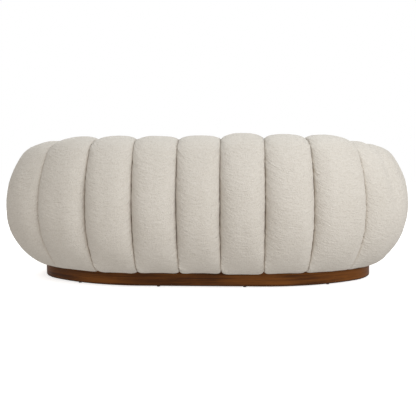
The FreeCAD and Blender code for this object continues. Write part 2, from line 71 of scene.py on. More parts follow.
SENSOR_WIDTH = 36.0
SHORT_STEP = 1e-9
CELL_SMOOTHNESS = 0.6

LOG = logging.getLogger("sofa")


class Side(Enum):
    """A side of the sofa as a person sitting in it sees it; the value is the sign of X."""

    LEFT = 1
    RIGHT = -1

    @property
    def word(self) -> str:
        """The side's name as the nodes have it."""
        return self.name.lower()


class Cloth(Enum):
    """Record slots that the soft pieces take their finish from."""

    CHANNEL = "channel_fabric"
    CUSHION = "cushion_fabric"
    PAD = "deck_pad"
    DECK = "deck_cloth"
    TAPE = "zip_tape"


# Noise and small helpers


def eased(share: np.ndarray) -> np.ndarray:
    """Smooth step: three times the square less two times the cube, from 0 to 1.

    Args:
        share: values from 0 to 1.

    Returns:
        The eased values.
    """
    return share * share * (3.0 - 2.0 * share)


def ramped(values: np.ndarray, start: float, over: float) -> np.ndarray:
    """Eased rise from 0 at a start to 1 a given distance past it.

    Args:
        values: what is mapped.
        start: where the rise starts.
        over: how long it takes.

    Returns:
        Values from 0 to 1.
    """
    return eased(np.clip((values - start) / over, 0.0, 1.0))


def lattice_noise(rng: np.random.Generator, across: np.ndarray, along: np.ndarray) -> np.ndarray:
    """Value noise on a plane: random numbers at whole-number points, eased between them.

    Args:
        rng: seeded generator that draws the lattice.
        across: first coordinate, in lattice cells.
        along: second coordinate, in lattice cells, of the same shape.

    Returns:
        Noise from about -1 to 1 at each point.
    """
    first = across - across.min()
    second = along - along.min()
    lattice = rng.uniform(-1.0, 1.0, (int(first.max()) + 2, int(second.max()) + 2))
    i, j = first.astype(int), second.astype(int)
    s, t = eased(first - i), eased(second - j)
    near = lattice[i, j] * (1 - s) + lattice[i + 1, j] * s
    far = lattice[i, j + 1] * (1 - s) + lattice[i + 1, j + 1] * s
    return near * (1 - t) + far * t


def space_noise(rng: np.random.Generator, points: np.ndarray, cell: Triple,
                waves: int = 24) -> np.ndarray:
    """Noise in space: a sum of sine waves of random direction, cut to a cell size.

    Args:
        rng: seeded generator that draws the waves.
        points: places, one row each, in metres.
        cell: size of a lump along X, Y and Z, in metres.
        waves: how many waves are added.

    Returns:
        Noise with a spread of about one.
    """
    total = np.zeros(len(points))
    for _ in range(waves):
        turn = rng.normal(size=3)
        turn *= math.pi / np.array(cell) / np.linalg.norm(turn)
        total += np.sin(points @ turn * rng.uniform(0.7, 1.4) + rng.uniform(0, 2 * math.pi))
    return total / math.sqrt(waves / 2)


# Meshes


def grid_faces(rows: int, columns: int, closed: bool) -> np.ndarray:
    """Quads of a grid of points numbered row by row.

    Args:
        rows: number of rows of points.
        columns: number of points in a row.
        closed: whether a row's last point joins its first.

    Returns:
        One row of four point numbers for each quad.
    """
    index = np.arange(rows * columns).reshape(rows, columns)
    if closed:
        index = np.concatenate([index, index[:, :1]], axis=1)
    corners = (index[:-1, :-1], index[1:, :-1], index[1:, 1:], index[:-1, 1:])
    return np.stack(corners, axis=-1).reshape(-1, 4)


def enclosed_volume(points: np.ndarray, quads: np.ndarray, caps: list[np.ndarray]) -> float:
    """Volume inside the faces, by the sum of the tetrahedra that reach the origin.

    Args:
        points: places, one row each.
        quads: point numbers of the quads.
        caps: point numbers of each many-sided face.

    Returns:
        The volume, negative if the faces point inwards.
    """
    fans = [np.stack([np.full(len(cap) - 2, cap[0]), cap[1:-1], cap[2:]], axis=1) for cap in caps]
    triangles = np.concatenate([quads[:, [0, 1, 2]], quads[:, [0, 2, 3]], *fans])
    a, b, c = (points[triangles[:, k]] for k in range(3))
    return float(np.einsum("ij,ij->i", a, np.cross(b, c)).sum() / 6)


def mesh_piece(name: str, points: np.ndarray, quads: np.ndarray,
               caps: list[np.ndarray] | None = None) -> bpy.types.Object:
    """Makes a closed piece of quads and many-sided caps, with its faces outwards.

    Args:
        name: the piece's name.
        points: places in metres, one row each.
        quads: point numbers of the quads.
        caps: point numbers of each cap, in the same winding as the quads.

    Returns:
        The new object, at the origin.
    """
    caps = caps or []
    if enclosed_volume(points, quads, caps) < 0:
        quads = quads[:, ::-1]
        caps = [cap[::-1] for cap in caps]
    loops = np.concatenate([quads.ravel(), *caps]).astype(np.int32)
    sizes = np.concatenate([np.full(len(quads), 4), [len(cap) for cap in caps]]).astype(np.int32)
    starts = np.concatenate([[0], np.cumsum(sizes)[:-1]]).astype(np.int32)
    mesh = bpy.data.meshes.new(name)
    mesh.vertices.add(len(points))
    mesh.vertices.foreach_set("co", points.astype(np.float32).ravel())
    mesh.loops.add(len(loops))
    mesh.loops.foreach_set("vertex_index", loops)
    mesh.polygons.add(len(sizes))
    mesh.polygons.foreach_set("loop_start", starts)
    mesh.update(calc_edges=True)
    mesh.validate()
    mesh.shade_smooth()
    piece = bpy.data.objects.new(name, mesh)
    bpy.context.scene.collection.objects.link(piece)
    return piece


def lofted(name: str, points: np.ndarray) -> bpy.types.Object:
    """Closed piece of rings of points, one after another, with a flat cap at each end.

    Args:
        name: the piece's name.
        points: array of rings by points by three; each ring's last point joins its first.

    Returns:
        The new object.
    """
    rows, columns = points.shape[:2]
    index = np.arange(rows * columns).reshape(rows, columns)
    return mesh_piece(name, points.reshape(-1, 3), grid_faces(rows, columns, True),
                      [index[0], index[-1][::-1]])


def settle(piece: bpy.types.Object, material: bpy.types.Material, body: str, node: str) -> None:
    """Gives a piece its material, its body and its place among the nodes.

    Args:
        piece: the object.
        material: what it is made of.
        body: the body that it rides on.
        node: the node that it stands for.
    """
    piece.data.materials.append(material)
    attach(piece, body)
    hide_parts(node)
    LOG.info("%s: %d faces", piece.name, len(piece.data.polygons))


def set_attributes(piece: bpy.types.Object, measures: dict[str, np.ndarray]) -> None:
    """Stores numbers for each point of a piece, for its material to read.

    Args:
        piece: the object.
        measures: one value for each point, by the attribute's name.
    """
    for name, values in measures.items():
        layer = piece.data.attributes.new(name, "FLOAT", "POINT")
        layer.data.foreach_set("value", values.astype(np.float32).ravel())


def point_array(piece: bpy.types.Object, what: str = "co") -> np.ndarray:
    """Reads the places or normals of a piece's points.

    Args:
        piece: the object.
        what: "co" for places or "normal" for normals.

    Returns:
        One row for each point.
    """
    values = np.empty(len(piece.data.vertices) * 3, np.float32)
    piece.data.vertices.foreach_get(what, values)
    return values.reshape(-1, 3).astype(float)


def set_points(piece: bpy.types.Object, points: np.ndarray) -> None:
    """Puts a piece's points in new places.

    Args:
        piece: the object.
        points: one row for each point, in metres.
    """
    piece.data.vertices.foreach_set("co", points.astype(np.float32).ravel())
    piece.data.update()


def grid_normals(points: np.ndarray) -> np.ndarray:
    """Unit normals of a grid of points, from the differences along rows and columns.

    Args:
        points: array of rows by columns by three.

    Returns:
        Normals of the same shape; their sense follows the grid's own.
    """
    cross = np.cross(np.gradient(points, axis=0), np.gradient(points, axis=1))
    return cross / np.maximum(np.linalg.norm(cross, axis=2, keepdims=True), SHORT_STEP)


def arc_lengths(points: np.ndarray, axis: int) -> np.ndarray:
    """Distance walked along one axis of a grid of points, from its first point.

    Args:
        points: array of rows by columns by three.
        axis: 0 to walk down the rows or 1 to walk along the columns.

    Returns:
        Rows by columns of distances in metres.
    """
    steps = np.linalg.norm(np.diff(points, axis=axis), axis=2)
    start = np.zeros_like(points[..., 0]).take([0], axis=axis)
    return np.concatenate([start, np.cumsum(steps, axis=axis)], axis=axis)


# Materials


class Shader:
    """A principled material that is put together node by node."""

    def __init__(self, name: str) -> None:
        """Starts an empty material with a principled shader.

        Args:
            name: the material's name.
        """
        self.material = bpy.data.materials.new(name)
        self.material.use_nodes = True
        self.tree = self.material.node_tree
        self.surface = self.tree.nodes["Principled BSDF"]

    def node(self, kind: str, **settings: object) -> bpy.types.Node:
        """Adds a node and sets its own properties.

        Args:
            kind: the node's type name.
            **settings: properties of the node.

        Returns:
            The node.
        """
        made = self.tree.nodes.new(kind)
        for key, value in settings.items():
            setattr(made, key, value)
        return made

    def join(self, source: Socket, target: Socket) -> None:
        """Links an output to an input."""
        self.tree.links.new(source, target)

    def feed(self, socket: Socket, value: object) -> None:
        """Gives a socket a link, if the value is a socket, or else a plain value.

        Args:
            socket: the input that is set.
            value: an output socket, a number or a colour.
        """
        if isinstance(value, Socket):
            self.join(value, socket)
        else:
            socket.default_value = value

    def stretched(self, vector: Socket, stretch: Triple) -> Socket:
        """A vector, scaled along each axis.

        Args:
            vector: the output that is scaled.
            stretch: scale along each axis.

        Returns:
            The vector output.
        """
        mapping = self.node("ShaderNodeMapping")
        mapping.inputs["Scale"].default_value = stretch
        self.join(vector, mapping.inputs["Vector"])
        return mapping.outputs["Vector"]

    def places(self, stretch: Triple = (1.0, 1.0, 1.0), source: str = "Object") -> Socket:
        """Object coordinates, or the piece's own map in metres, scaled along each axis.

        Args:
            stretch: scale along each axis.
            source: "Object", or "UV" for the map.

        Returns:
            The vector output.
        """
        return self.stretched(self.node("ShaderNodeTexCoord").outputs[source], stretch)

    def noise(self, vector: Socket, scale: float, detail: float = 2.0, rough: float = 0.5,
              output: str = "Fac") -> Socket:
        """Fractal noise from 0 to 1.

        Args:
            vector: where it is read.
            scale: features per metre.
            detail: octaves.
            rough: strength of the finer octaves.
            output: "Fac" for one value, or "Color" for three.

        Returns:
            The output.
        """
        made = self.node("ShaderNodeTexNoise")
        self.join(vector, made.inputs["Vector"])
        made.inputs["Scale"].default_value = scale
        made.inputs["Detail"].default_value = detail
        made.inputs["Roughness"].default_value = rough
        return made.outputs[output]

    def cells(self, vector: Socket, scale: float) -> Socket:
        """Distance to the nearest of scattered points, which makes round lumps.

        Args:
            vector: where it is read.
            scale: lumps per metre.

        Returns:
            The distance output.
        """
        made = self.node("ShaderNodeTexVoronoi", feature="SMOOTH_F1")
        self.join(vector, made.inputs["Vector"])
        made.inputs["Scale"].default_value = scale
        made.inputs["Smoothness"].default_value = CELL_SMOOTHNESS
        return made.outputs["Distance"]

    def attribute(self, name: str) -> Socket:
        """The number that a piece stores for each point under a name."""
        return self.node("ShaderNodeAttribute", attribute_name=name).outputs["Fac"]

    def math(self, operation: str, first: object, second: object = 0.0) -> Socket:
        """One arithmetic step on two values or outputs.

        Args:
            operation: the node's operation.
            first: a number or an output.
            second: a number or an output.

        Returns:
            The result's output.
        """
        made = self.node("ShaderNodeMath", operation=operation)
        self.feed(made.inputs[0], first)
        self.feed(made.inputs[1], second)
        return made.outputs[0]

    def weighted(self, first: object, share: float, second: object, other: float) -> Socket:
        """Sum of two values, each times its own share.

        Args:
            first: an output.
            share: what the first is multiplied by.
            second: an output.
            other: what the second is multiplied by.

        Returns:
            The result's output.
        """
        return self.math("ADD", self.math("MULTIPLY", first, share),
                         self.math("MULTIPLY", second, other))

    def ramp(self, value: Socket, low: float, high: float, start: float = 0.0,
             end: float = 1.0) -> Socket:
        """Maps a range of a value to another range, clamped.

        Args:
            value: the output that is mapped.
            low: value that gives start.
            high: value that gives end.
            start: result at low.
            end: result at high.

        Returns:
            The result's output.
        """
        made = self.node("ShaderNodeMapRange", interpolation_type="SMOOTHSTEP")
        self.join(value, made.inputs["Value"])
        for key, number in (("From Min", low), ("From Max", high), ("To Min", start),
                            ("To Max", end)):
            made.inputs[key].default_value = number
        return made.outputs["Result"]

    def blend(self, share: object, first: object, second: object, how: str = "MIX") -> Socket:
        """Mixes two colours.

        Args:
            share: how much of the second, a number or an output.
            first: a colour or an output.
            second: a colour or an output.
            how: the way the two mix.

        Returns:
            The colour output.
        """
        made = self.node("ShaderNodeMix", data_type="RGBA", blend_type=how)
        self.feed(made.inputs["Factor"], share)
        for socket, value in ((made.inputs["A"], first), (made.inputs["B"], second)):
            self.feed(socket, value if isinstance(value, Socket) else (*value, 1.0))
        return made.outputs["Result"]

    def bump(self, height: Socket, depth: float, under: Socket | None = None) -> Socket:
        """Raises the surface by a height, for shading only.

        Args:
            height: height from 0 to 1.
            depth: metres that a height of 1 stands for.
            under: normal of a coarser bump below it.

        Returns:
            The normal output.
        """
        made = self.node("ShaderNodeBump")
        made.inputs["Strength"].default_value = 1.0
        made.inputs["Distance"].default_value = depth
        self.join(height, made.inputs["Height"])
        if under is not None:
            self.join(under, made.inputs["Normal"])
        return made.outputs["Normal"]

    def finish(self, colour: object, rough: object, normal: object = None,
               **fixed: float) -> bpy.types.Material:
        """Joins the colour, roughness and normal to the shader.

        Args:
            colour: a colour or an output.
            rough: a number or an output.
            normal: the bump's output, if there is one.
            **fixed: uniform values of other sockets, with _ for a space in their names.

        Returns:
            The material.
        """
        flat = colour if isinstance(colour, Socket) else (*colour, 1.0)
        self.feed(self.surface.inputs["Base Color"], flat)
        self.feed(self.surface.inputs["Roughness"], rough)
        if normal is not None:
            self.join(normal, self.surface.inputs["Normal"])
        for key, value in fixed.items():
            self.surface.inputs[key.replace("_", " ")].default_value = value
        return self.material


@dataclass(frozen=True)
class LoopedWool:
    """Cream looped upholstery cloth: small curled loops, soft clumps and fine cross ripples.

    The loops are smooth cells whose places are stirred by noise, the clumps are noise some two
    loops wide, and the ripples are noise pressed flat along the cloth, as its weft puckers. All
    of it is read from the cloth's own measures, across and along. The colour holds painted shade
    in the loops' valleys, the ripples' hollows and each seam's crease, beside the cloth's own
    patchy tone.
    """

    # The cloth goes from its light tone towards its shade tone as painted shade in the loops'
    # valleys and the ripples' hollows, and by its own patchy tone.
    light: Colour = (0.662, 0.612, 0.548)
    shade: Colour = (0.550, 0.498, 0.430)
    # crease and tuck are colours of painted shade: a dark line in each seam's crease and a broader
    # darkening where the channel rolls into it.
    crease: Colour = (0.175, 0.088, 0.032)
    tuck: Colour = (0.430, 0.345, 0.250)
    loops_per_metre: float = 210.0
    clumps_per_metre: float = 95.0
    ripples_per_metre: float = 33.0
    ripple_flatness: float = 3.7
    loop_height: float = 0.0015
    ripple_height: float = 0.0055
    stir: float = 0.0030
    stirs_per_metre: float = 90.0
    patches_per_metre: float = 6.0
    clump_share: float = 0.30
    lump_span: Pair = (0.36, 0.64)
    valley_span: Pair = (0.28, 0.75)
    # How much painted shade falls in the loops' valleys and the ripples' hollows; the patches are
    # the cloth's own uneven tone.
    valley_shade: float = 0.50
    hollow_shade: float = 0.26
    patch_shade: float = 0.14
    # Width and strength of the painted crease shade, and of the painted shade beside each seam.
    crease_width: float = 0.0068
    crease_shade: float = 0.92
    tuck_width: float = 0.020
    tuck_shade: float = 0.42

    def material(self, name: str) -> bpy.types.Material:
        """Builds the material.

        Args:
            name: the material's name.

        Returns:
            The material, which reads the attributes across, along, layer and seam_distance.
        """
        shader = Shader(name)
        cloth = shader.node("ShaderNodeCombineXYZ")
        for number, measure in enumerate(("across", "along", "layer")):
            shader.join(shader.attribute(measure), cloth.inputs[number])
        plain = cloth.outputs[0]
        stirring = shader.noise(plain, self.stirs_per_metre, output="Color")
        spread = shader.node("ShaderNodeVectorMath", operation="SCALE")
        spread.inputs["Scale"].default_value = self.stir
        shader.join(stirring, spread.inputs[0])
        moved = shader.node("ShaderNodeVectorMath", operation="ADD")
        shader.join(plain, moved.inputs[0])
        shader.join(spread.outputs[0], moved.inputs[1])
        loops = shader.cells(moved.outputs[0], self.loops_per_metre)
        clumps = shader.noise(moved.outputs[0], self.clumps_per_metre, 2.0, 0.55)
        drawn = shader.stretched(moved.outputs[0], (1.0, self.ripple_flatness, 1.0))
        ripples = shader.noise(drawn, self.ripples_per_metre, 3.0, 0.55)
        patches = shader.noise(plain, self.patches_per_metre, 1.0)
        # Painted shade: the cloth is darkened in the valleys between loops and in the hollows of
        # the clumps and ripples.
        valley_painted_shade = shader.ramp(loops, *self.valley_span)
        lump = shader.weighted(clumps, self.clump_share, ripples, 1.0 - self.clump_share)
        hollow_painted_shade = shader.math("SUBTRACT", 1.0, shader.ramp(lump, *self.lump_span))
        dark = shader.weighted(valley_painted_shade, self.valley_shade, hollow_painted_shade, self.hollow_shade)
        # Added to the painted shade: the cloth's own patchy tone; woven holds both.
        dark = shader.math("ADD", dark, shader.ramp(patches, 0.3, 0.7, 0.0, self.patch_shade))
        woven = shader.blend(dark, self.light, self.shade)
        # Painted shade along the seams: a dark line in the crease and a broader darkening beside
        # it, read from the distance to the seam.
        seam = shader.ramp(shader.attribute("seam_distance"), 0.0, self.crease_width, 1.0, 0.0)
        beside = shader.ramp(shader.attribute("seam_distance"), 0.0, self.tuck_width,
                             self.tuck_shade, 0.0)
        with_tuck_shade = shader.blend(beside, woven, self.tuck)
        crease_shade_share = shader.math("MULTIPLY", seam, self.crease_shade)
        colour = shader.blend(crease_shade_share, with_tuck_shade, self.crease)
        coarse = shader.bump(lump, self.ripple_height)
        fine = shader.bump(shader.math("SUBTRACT", 1.0, loops), self.loop_height, coarse)
        return shader.finish(colour, 0.95, fine, Sheen_Weight=0.12, Sheen_Roughness=0.6,
                             Specular_IOR_Level=0.12)


@dataclass(frozen=True)
class StainedTimber:
    """Dark brown stained timber: fine straight grain with long dark streaks and worn arrises.

    Fine pores and broad figure are noise drawn out along the grain, and the edges are lighter
    where the stain has rubbed off. A near-black band along the foot is painted shadow, where the
    plinth meets the floor.
    """

    deep: Colour = (0.038, 0.0105, 0.0013)
    warm: Colour = (0.164, 0.054, 0.0088)
    worn: Colour = (0.240, 0.105, 0.036)
    # This near-black tone, foot_band and foot_shade give the colour, height and strength of the
    # painted shadow along the foot, where the plinth meets the floor.
    second_tone: Colour = (0.012, 0.006, 0.003)
    foot_band: Pair = (0.006, 0.015)
    foot_shade: float = 0.8
    figure: Triple = (3.0, 130.0, 1.0)
    pores: Triple = (26.0, 900.0, 1.0)
    cloud: Triple = (3.0, 7.0, 1.0)
    figure_share: float = 0.62
    tone_span: Pair = (0.34, 0.68)
    pore_depth: float = 0.0003

    def material(self, name: str) -> bpy.types.Material:
        """Builds the material.

        Args:
            name: the material's name.

        Returns:
            The material, which reads the piece's map, in metres along and across the grain.
        """
        shader = Shader(name)
        figure = shader.noise(shader.places(self.figure, "UV"), 1.0, 4.0, 0.6)
        pores = shader.noise(shader.places(self.pores, "UV"), 1.0, 3.0, 0.7)
        cloud = shader.noise(shader.places(self.cloud, "UV"), 1.0, 1.0)
        tone = shader.weighted(figure, self.figure_share, pores, 1.0 - self.figure_share)
        tone = shader.math("ADD", tone, shader.ramp(cloud, 0.3, 0.7, -0.08, 0.08))
        grain = shader.blend(shader.ramp(tone, *self.tone_span), self.deep, self.warm)
        # Painted shadow: a near-black band along the foot of the wall, where it meets the floor.
        height = shader.node("ShaderNodeSeparateXYZ")
        shader.join(shader.places(), height.inputs[0])
        foot = shader.ramp(height.outputs[2], *self.foot_band, self.foot_shade, 0.0)
        grain = shader.blend(foot, grain, self.second_tone)
        edge = shader.attribute("edge_wear")
        rubbed = shader.math("MULTIPLY", edge, shader.ramp(pores, 0.35, 0.7, 0.1, 0.50))
        # No edge wear shows inside the painted shadow band.
        rubbed = shader.math("MULTIPLY", rubbed, shader.math("SUBTRACT", 1.0, foot))
        colour = shader.blend(rubbed, grain, self.worn)
        normal = shader.bump(pores, self.pore_depth)
        return shader.finish(colour, shader.ramp(pores, 0.3, 0.7, 0.48, 0.62), normal,
                             Specular_IOR_Level=0.09)


@dataclass(frozen=True)
class PlainTimber:
    """Unfinished board or plank: grain drawn out along one axis, with a few darker lines."""

    pale: Colour
    dark: Colour
    stretch: Triple = (4.0, 60.0, 60.0)
    rough: float = 0.7
    grain_share: float = 0.7
    grain_depth: float = 0.0002

    def material(self, name: str) -> bpy.types.Material:
        """Builds the material.

        Args:
            name: the material's name.

        Returns:
            The material.
        """
        shader = Shader(name)
        grain = shader.noise(shader.places(self.stretch), 1.0, 4.0, 0.65)
        fleck = shader.noise(shader.places(tuple(4 * s for s in self.stretch)), 1.0, 2.0)
        tone = shader.weighted(grain, self.grain_share, fleck, 1.0 - self.grain_share)
        colour = shader.blend(shader.ramp(tone, 0.35, 0.65), self.pale, self.dark)
        return shader.finish(colour, self.rough, shader.bump(fleck, self.grain_depth))


@dataclass(frozen=True)
class Metal:
    """Plain metal with a fine brushed or drawn finish and faint blotches."""

    colour: Colour
    dull: Colour
    rough: float = 0.35
    blotches_per_metre: float = 90.0
    brushing: Triple = (900.0, 60.0, 900.0)
    brush_depth: float = 0.00005

    def material(self, name: str) -> bpy.types.Material:
        """Builds the material.

        Args:
            name: the material's name.

        Returns:
            The material.
        """
        shader = Shader(name)
        blotch = shader.noise(shader.places(), self.blotches_per_metre, 3.0, 0.6)
        scratch = shader.noise(shader.places(self.brushing), 1.0)
        colour = shader.blend(shader.ramp(blotch, 0.35, 0.7), self.colour, self.dull)
        rough = shader.ramp(blotch, 0.3, 0.7, self.rough - 0.08, self.rough + 0.14)
        return shader.finish(colour, rough, shader.bump(scratch, self.brush_depth), Metallic=1.0)


@dataclass(frozen=True)
class PlainCloth:
    """Flat technical cloth or felt: short fibres laid both ways."""

    light: Colour
    dark: Colour
    threads_per_metre: float = 700.0
    depth: float = 0.0004
    patches_per_metre: float = 14.0
    weave_share: float = 0.7

    def material(self, name: str) -> bpy.types.Material:
        """Builds the material.

        Args:
            name: the material's name.

        Returns:
            The material.
        """
        shader = Shader(name)
        fine = self.threads_per_metre
        first = shader.noise(shader.places((fine, fine / 8, fine / 8)), 1.0, 2.0)
        second = shader.noise(shader.places((fine / 8, fine, fine)), 1.0, 2.0)
        weave = shader.math("MAXIMUM", first, second)
        patches = shader.noise(shader.places(), self.patches_per_metre)
        tone = shader.weighted(weave, self.weave_share, patches, 1.0 - self.weave_share)
        colour = shader.blend(shader.ramp(tone, 0.35, 0.7), self.dark, self.light)
        return shader.finish(colour, 0.9, shader.bump(weave, self.depth), Sheen_Weight=0.15)


@dataclass(frozen=True)
class MouldedPlastic:
    """Matt moulded plastic with a fine spark texture."""

    colour: Colour = (0.012, 0.012, 0.013)
    second_tone: Colour = (0.040, 0.040, 0.042)
    sparks_per_metre: float = 2500.0
    scuffs_per_metre: float = 160.0
    spark_depth: float = 0.0001

    def material(self, name: str) -> bpy.types.Material:
        """Builds the material.

        Args:
            name: the material's name.

        Returns:
            The material.
        """
        shader = Shader(name)
        spark = shader.noise(shader.places(), self.sparks_per_metre)
        scuff = shader.noise(shader.places(), self.scuffs_per_metre, 3.0, 0.7)
        colour = shader.blend(shader.ramp(scuff, 0.5, 0.75), self.colour, self.second_tone)
        return shader.finish(colour, 0.5, shader.bump(spark, self.spark_depth))


# The oval plan and the channels' outline


@dataclass(frozen=True)
class OvalPlan:
    """The plinth's outline: straights, flat arcs and tip arcs, walked from the back's middle.

    Distances are along the outline, positive to the sitter's left, and out is the distance
    outwards from it.
    """

    half_length: float
    half_depth: float
    centre_y: float
    end_length: float = 0.612
    tip_radius: float = 0.255

    @property
    def straight_half(self) -> float:
        """Half the length of the straight at the back."""
        return self.half_length - self.end_length

    @property
    def flat_radius(self) -> float:
        """Radius of the flatter arc, which meets the tip arc without a kink.

        With the ends' length a, half the depth b and the tip's radius r, it is
        ((a - r)^2 + b^2 - r^2) / (2 (b - r)).

        Returns:
            The radius in metres.
        """
        spread = (self.end_length - self.tip_radius) ** 2
        spread += self.half_depth ** 2 - self.tip_radius ** 2
        return spread / (2 * (self.half_depth - self.tip_radius))

    @property
    def meeting(self) -> float:
        """Angle from the long axis at which the two arcs meet."""
        return math.atan2(self.flat_radius - self.half_depth, self.end_length - self.tip_radius)

    @property
    def flat_end(self) -> float:
        """Distance at which the flatter arc ends."""
        return self.straight_half + self.flat_radius * (math.pi / 2 - self.meeting)

    @property
    def tip(self) -> float:
        """Distance of the outline's end point on the long axis."""
        return self.flat_end + self.tip_radius * self.meeting

    @property
    def half_way(self) -> float:
        """Distance of the middle of the front."""
        return 2 * self.tip

    def locate(self, distance: np.ndarray, out: np.ndarray) -> tuple[np.ndarray, np.ndarray]:
        """Places beside the outline.

        Args:
            distance: distances along the outline.
            out: distances outwards, of a shape that fits.

        Returns:
            X and Y of each place.
        """
        wrapped = (distance + self.half_way) % (2 * self.half_way) - self.half_way
        along = np.abs(wrapped)
        front = along > self.tip
        along = np.where(front, self.half_way - along, along)
        flat_angle = math.pi / 2 - (along - self.straight_half) / self.flat_radius
        tip_angle = (self.tip - along) / self.tip_radius
        flat_reach, tip_reach = self.flat_radius + out, self.tip_radius + out
        on_straight, on_flat = along <= self.straight_half, along <= self.flat_end
        x = np.where(on_flat, self.straight_half + flat_reach * np.cos(flat_angle),
                     self.half_length - self.tip_radius + tip_reach * np.cos(tip_angle))
        y = np.where(on_flat, self.half_depth - self.flat_radius + flat_reach * np.sin(flat_angle),
                     tip_reach * np.sin(tip_angle))
        x = np.where(on_straight, along, x)
        y = np.where(on_straight, self.half_depth + out, y)
        return np.where(wrapped < 0, -x, x), np.where(front, -y, y) + self.centre_y


def quarter_oval(end: tuple, side: tuple, tip_radius: np.ndarray, share: np.ndarray) -> tuple:
    """Two tangent arcs, from an end where the curve is level to a side where it is upright.

    The small arc has tip_radius, and the large one is the circle that touches it and stands
    upright at the side.

    Args:
        end: out and height of the end, each a column of values.
        side: out and height of the side, each a column of values.
        tip_radius: radius of the small arc, a column.
        share: row of values from 0 at the end to 1 at the side.

    Returns:
        Out and height, with one row for each value in the columns.
    """
    short, long = np.abs(side[0] - end[0]), np.abs(end[1] - side[1])
    sign_out, sign_up = np.sign(side[0] - end[0]), np.sign(end[1] - side[1])
    large = ((long - tip_radius) ** 2 + short ** 2 - tip_radius ** 2) / (2 * (short - tip_radius))
    large_turn = math.pi / 2 - np.arctan2(large - short, long - tip_radius)
    small_turn = math.pi / 2 - large_turn
    small_length = tip_radius * small_turn
    split = small_length / (small_length + large * large_turn)
    angle = np.where(share < split, share / split * small_turn,
                     small_turn + (share - split) / (1 - split) * large_turn)
    on_tip = share < split
    radius = np.where(on_tip, tip_radius, large)
    middle_out = np.where(on_tip, end[0], end[0] - sign_out * (large - short))
    middle_up = np.where(on_tip, side[1] + sign_up * (long - tip_radius), side[1])
    return (middle_out + sign_out * radius * np.sin(angle),
            middle_up + sign_up * radius * np.cos(angle))


def between(pair: Pair, full: np.ndarray) -> np.ndarray:
    """A size at each fullness, evenly from its value at a seam to that at the full middle.

    Args:
        pair: the size at the full middle, then at a seam.
        full: fullness, 0 at a seam and 1 at the full middle.

    Returns:
        The sizes.
    """
    return pair[1] + (pair[0] - pair[1]) * full


def columns_of(corners: tuple, full: np.ndarray) -> tuple[np.ndarray, np.ndarray]:
    """The same few points for every row.

    Args:
        corners: out and height of each point.
        full: column with as many rows as are wanted.

    Returns:
        Out and height, with one row for each value in the column.
    """
    flat = np.ones_like(full) * np.array(corners).T[:, None]
    return flat[0], flat[1]


@dataclass(frozen=True)
class ChannelShape:
    """Outline of a full-height channel, at its full middle and at its seams, in metres."""

    crest_height: float
    hem_out: Pair = (0.010, 0.040)
    hem_height: Pair = (0.072, 0.096)
    hem_square: float = 2.6
    side_out: Pair = (0.198, 0.142)
    side_height: float = 0.376
    crest_out: Pair = (0.0, 0.018)
    crest_drop: float = 0.028
    inside_out: Pair = (-0.166, -0.140)
    inside_below_crest: float = 0.205
    foot_out: Pair = (-0.152, -0.136)
    foot_height: float = 0.3003
    crest_radius: Pair = (0.140, 0.085)
    hem_radius: float = 0.060
    inside_radius: float = 0.118
    arm_drop: float = 0.044
    arm_drop_start: float = 0.520
    frame_inside: float = -0.112
    frame_top: Pair = (0.062, 0.562)
    frame_foot: Pair = (0.0083, 0.0983)
    frame_side: tuple[Pair, ...] = ((0.096, 0.46), (0.098, 0.36), (0.075, 0.24))
    runs: tuple[float, float, float, float] = (0.40, 0.47, 0.29, 0.24)
    mesh_step: float = 0.0040

    def drop(self, distance: np.ndarray, tip: float) -> np.ndarray:
        """How much lower the crest is at a distance than in the middle of the back.

        Args:
            distance: distances along the plan.
            tip: distance of the plan's end point.

        Returns:
            The drops in metres.
        """
        return self.arm_drop * ramped(np.abs(distance), self.arm_drop_start,
                                      tip - self.arm_drop_start)

    def shares(self, length: float) -> np.ndarray:
        """Even shares from 0 up to 1, with 1 left out, one for each mesh step of a length."""
        return np.arange(0.0, 1.0, 1.0 / max(2, round(length / self.mesh_step)))[None, :]

    def outer(self, full: np.ndarray, drop: np.ndarray, lift: float) -> tuple:
        """Hem, belly, crest and inside of the channel at each fullness.

        Args:
            full: column of fullness, 0 at a seam and 1 at the full middle.
            drop: column of how far the crest is down.
            lift: how much higher this channel's crest is than its neighbours'.

        Returns:
            Out and height, with one row for each fullness.
        """
        square = 1 - np.clip(1 - full, 0.0, 1.0) ** self.hem_square
        hem = (between(self.hem_out, full), between(self.hem_height, square))
        side = (between(self.side_out, full), np.full_like(full, self.side_height))
        top = self.crest_height - drop + lift * full - self.crest_drop * (1 - full)
        crest = (between(self.crest_out, full), top)
        inside = (between(self.inside_out, full),
                  self.crest_height - drop - self.inside_below_crest)
        foot = (between(self.foot_out, full), np.full_like(full, self.foot_height))
        lower_run, upper_run, inner_run, straight_run = self.runs
        lower = quarter_oval(hem, side, np.full_like(full, self.hem_radius),
                             self.shares(lower_run))
        upper = quarter_oval(crest, side, between(self.crest_radius, full),
                             1.0 - self.shares(upper_run))
        inner = quarter_oval(crest, inside, np.full_like(full, self.inside_radius),
                             self.shares(inner_run))
        run = self.shares(straight_run)
        straight = tuple(inside[k] + (foot[k] - inside[k]) * run for k in range(2))
        return tuple(np.concatenate([lower[k], upper[k], inner[k], straight[k], foot[k]], axis=1)
                     for k in range(2))

    def hidden(self, full: np.ndarray) -> tuple[np.ndarray, np.ndarray]:
        """The few points behind the cloth, from the foot round the frame to the hem.

        Args:
            full: column of fullness.

        Returns:
            Out and height, with one row for each fullness.
        """
        corners = ((self.frame_inside, self.foot_height), (self.frame_inside, self.frame_top[1]),
                   self.frame_top, *self.frame_side, self.frame_foot,
                   (self.frame_foot[0], self.hem_height[1]))
        return columns_of(corners, full)


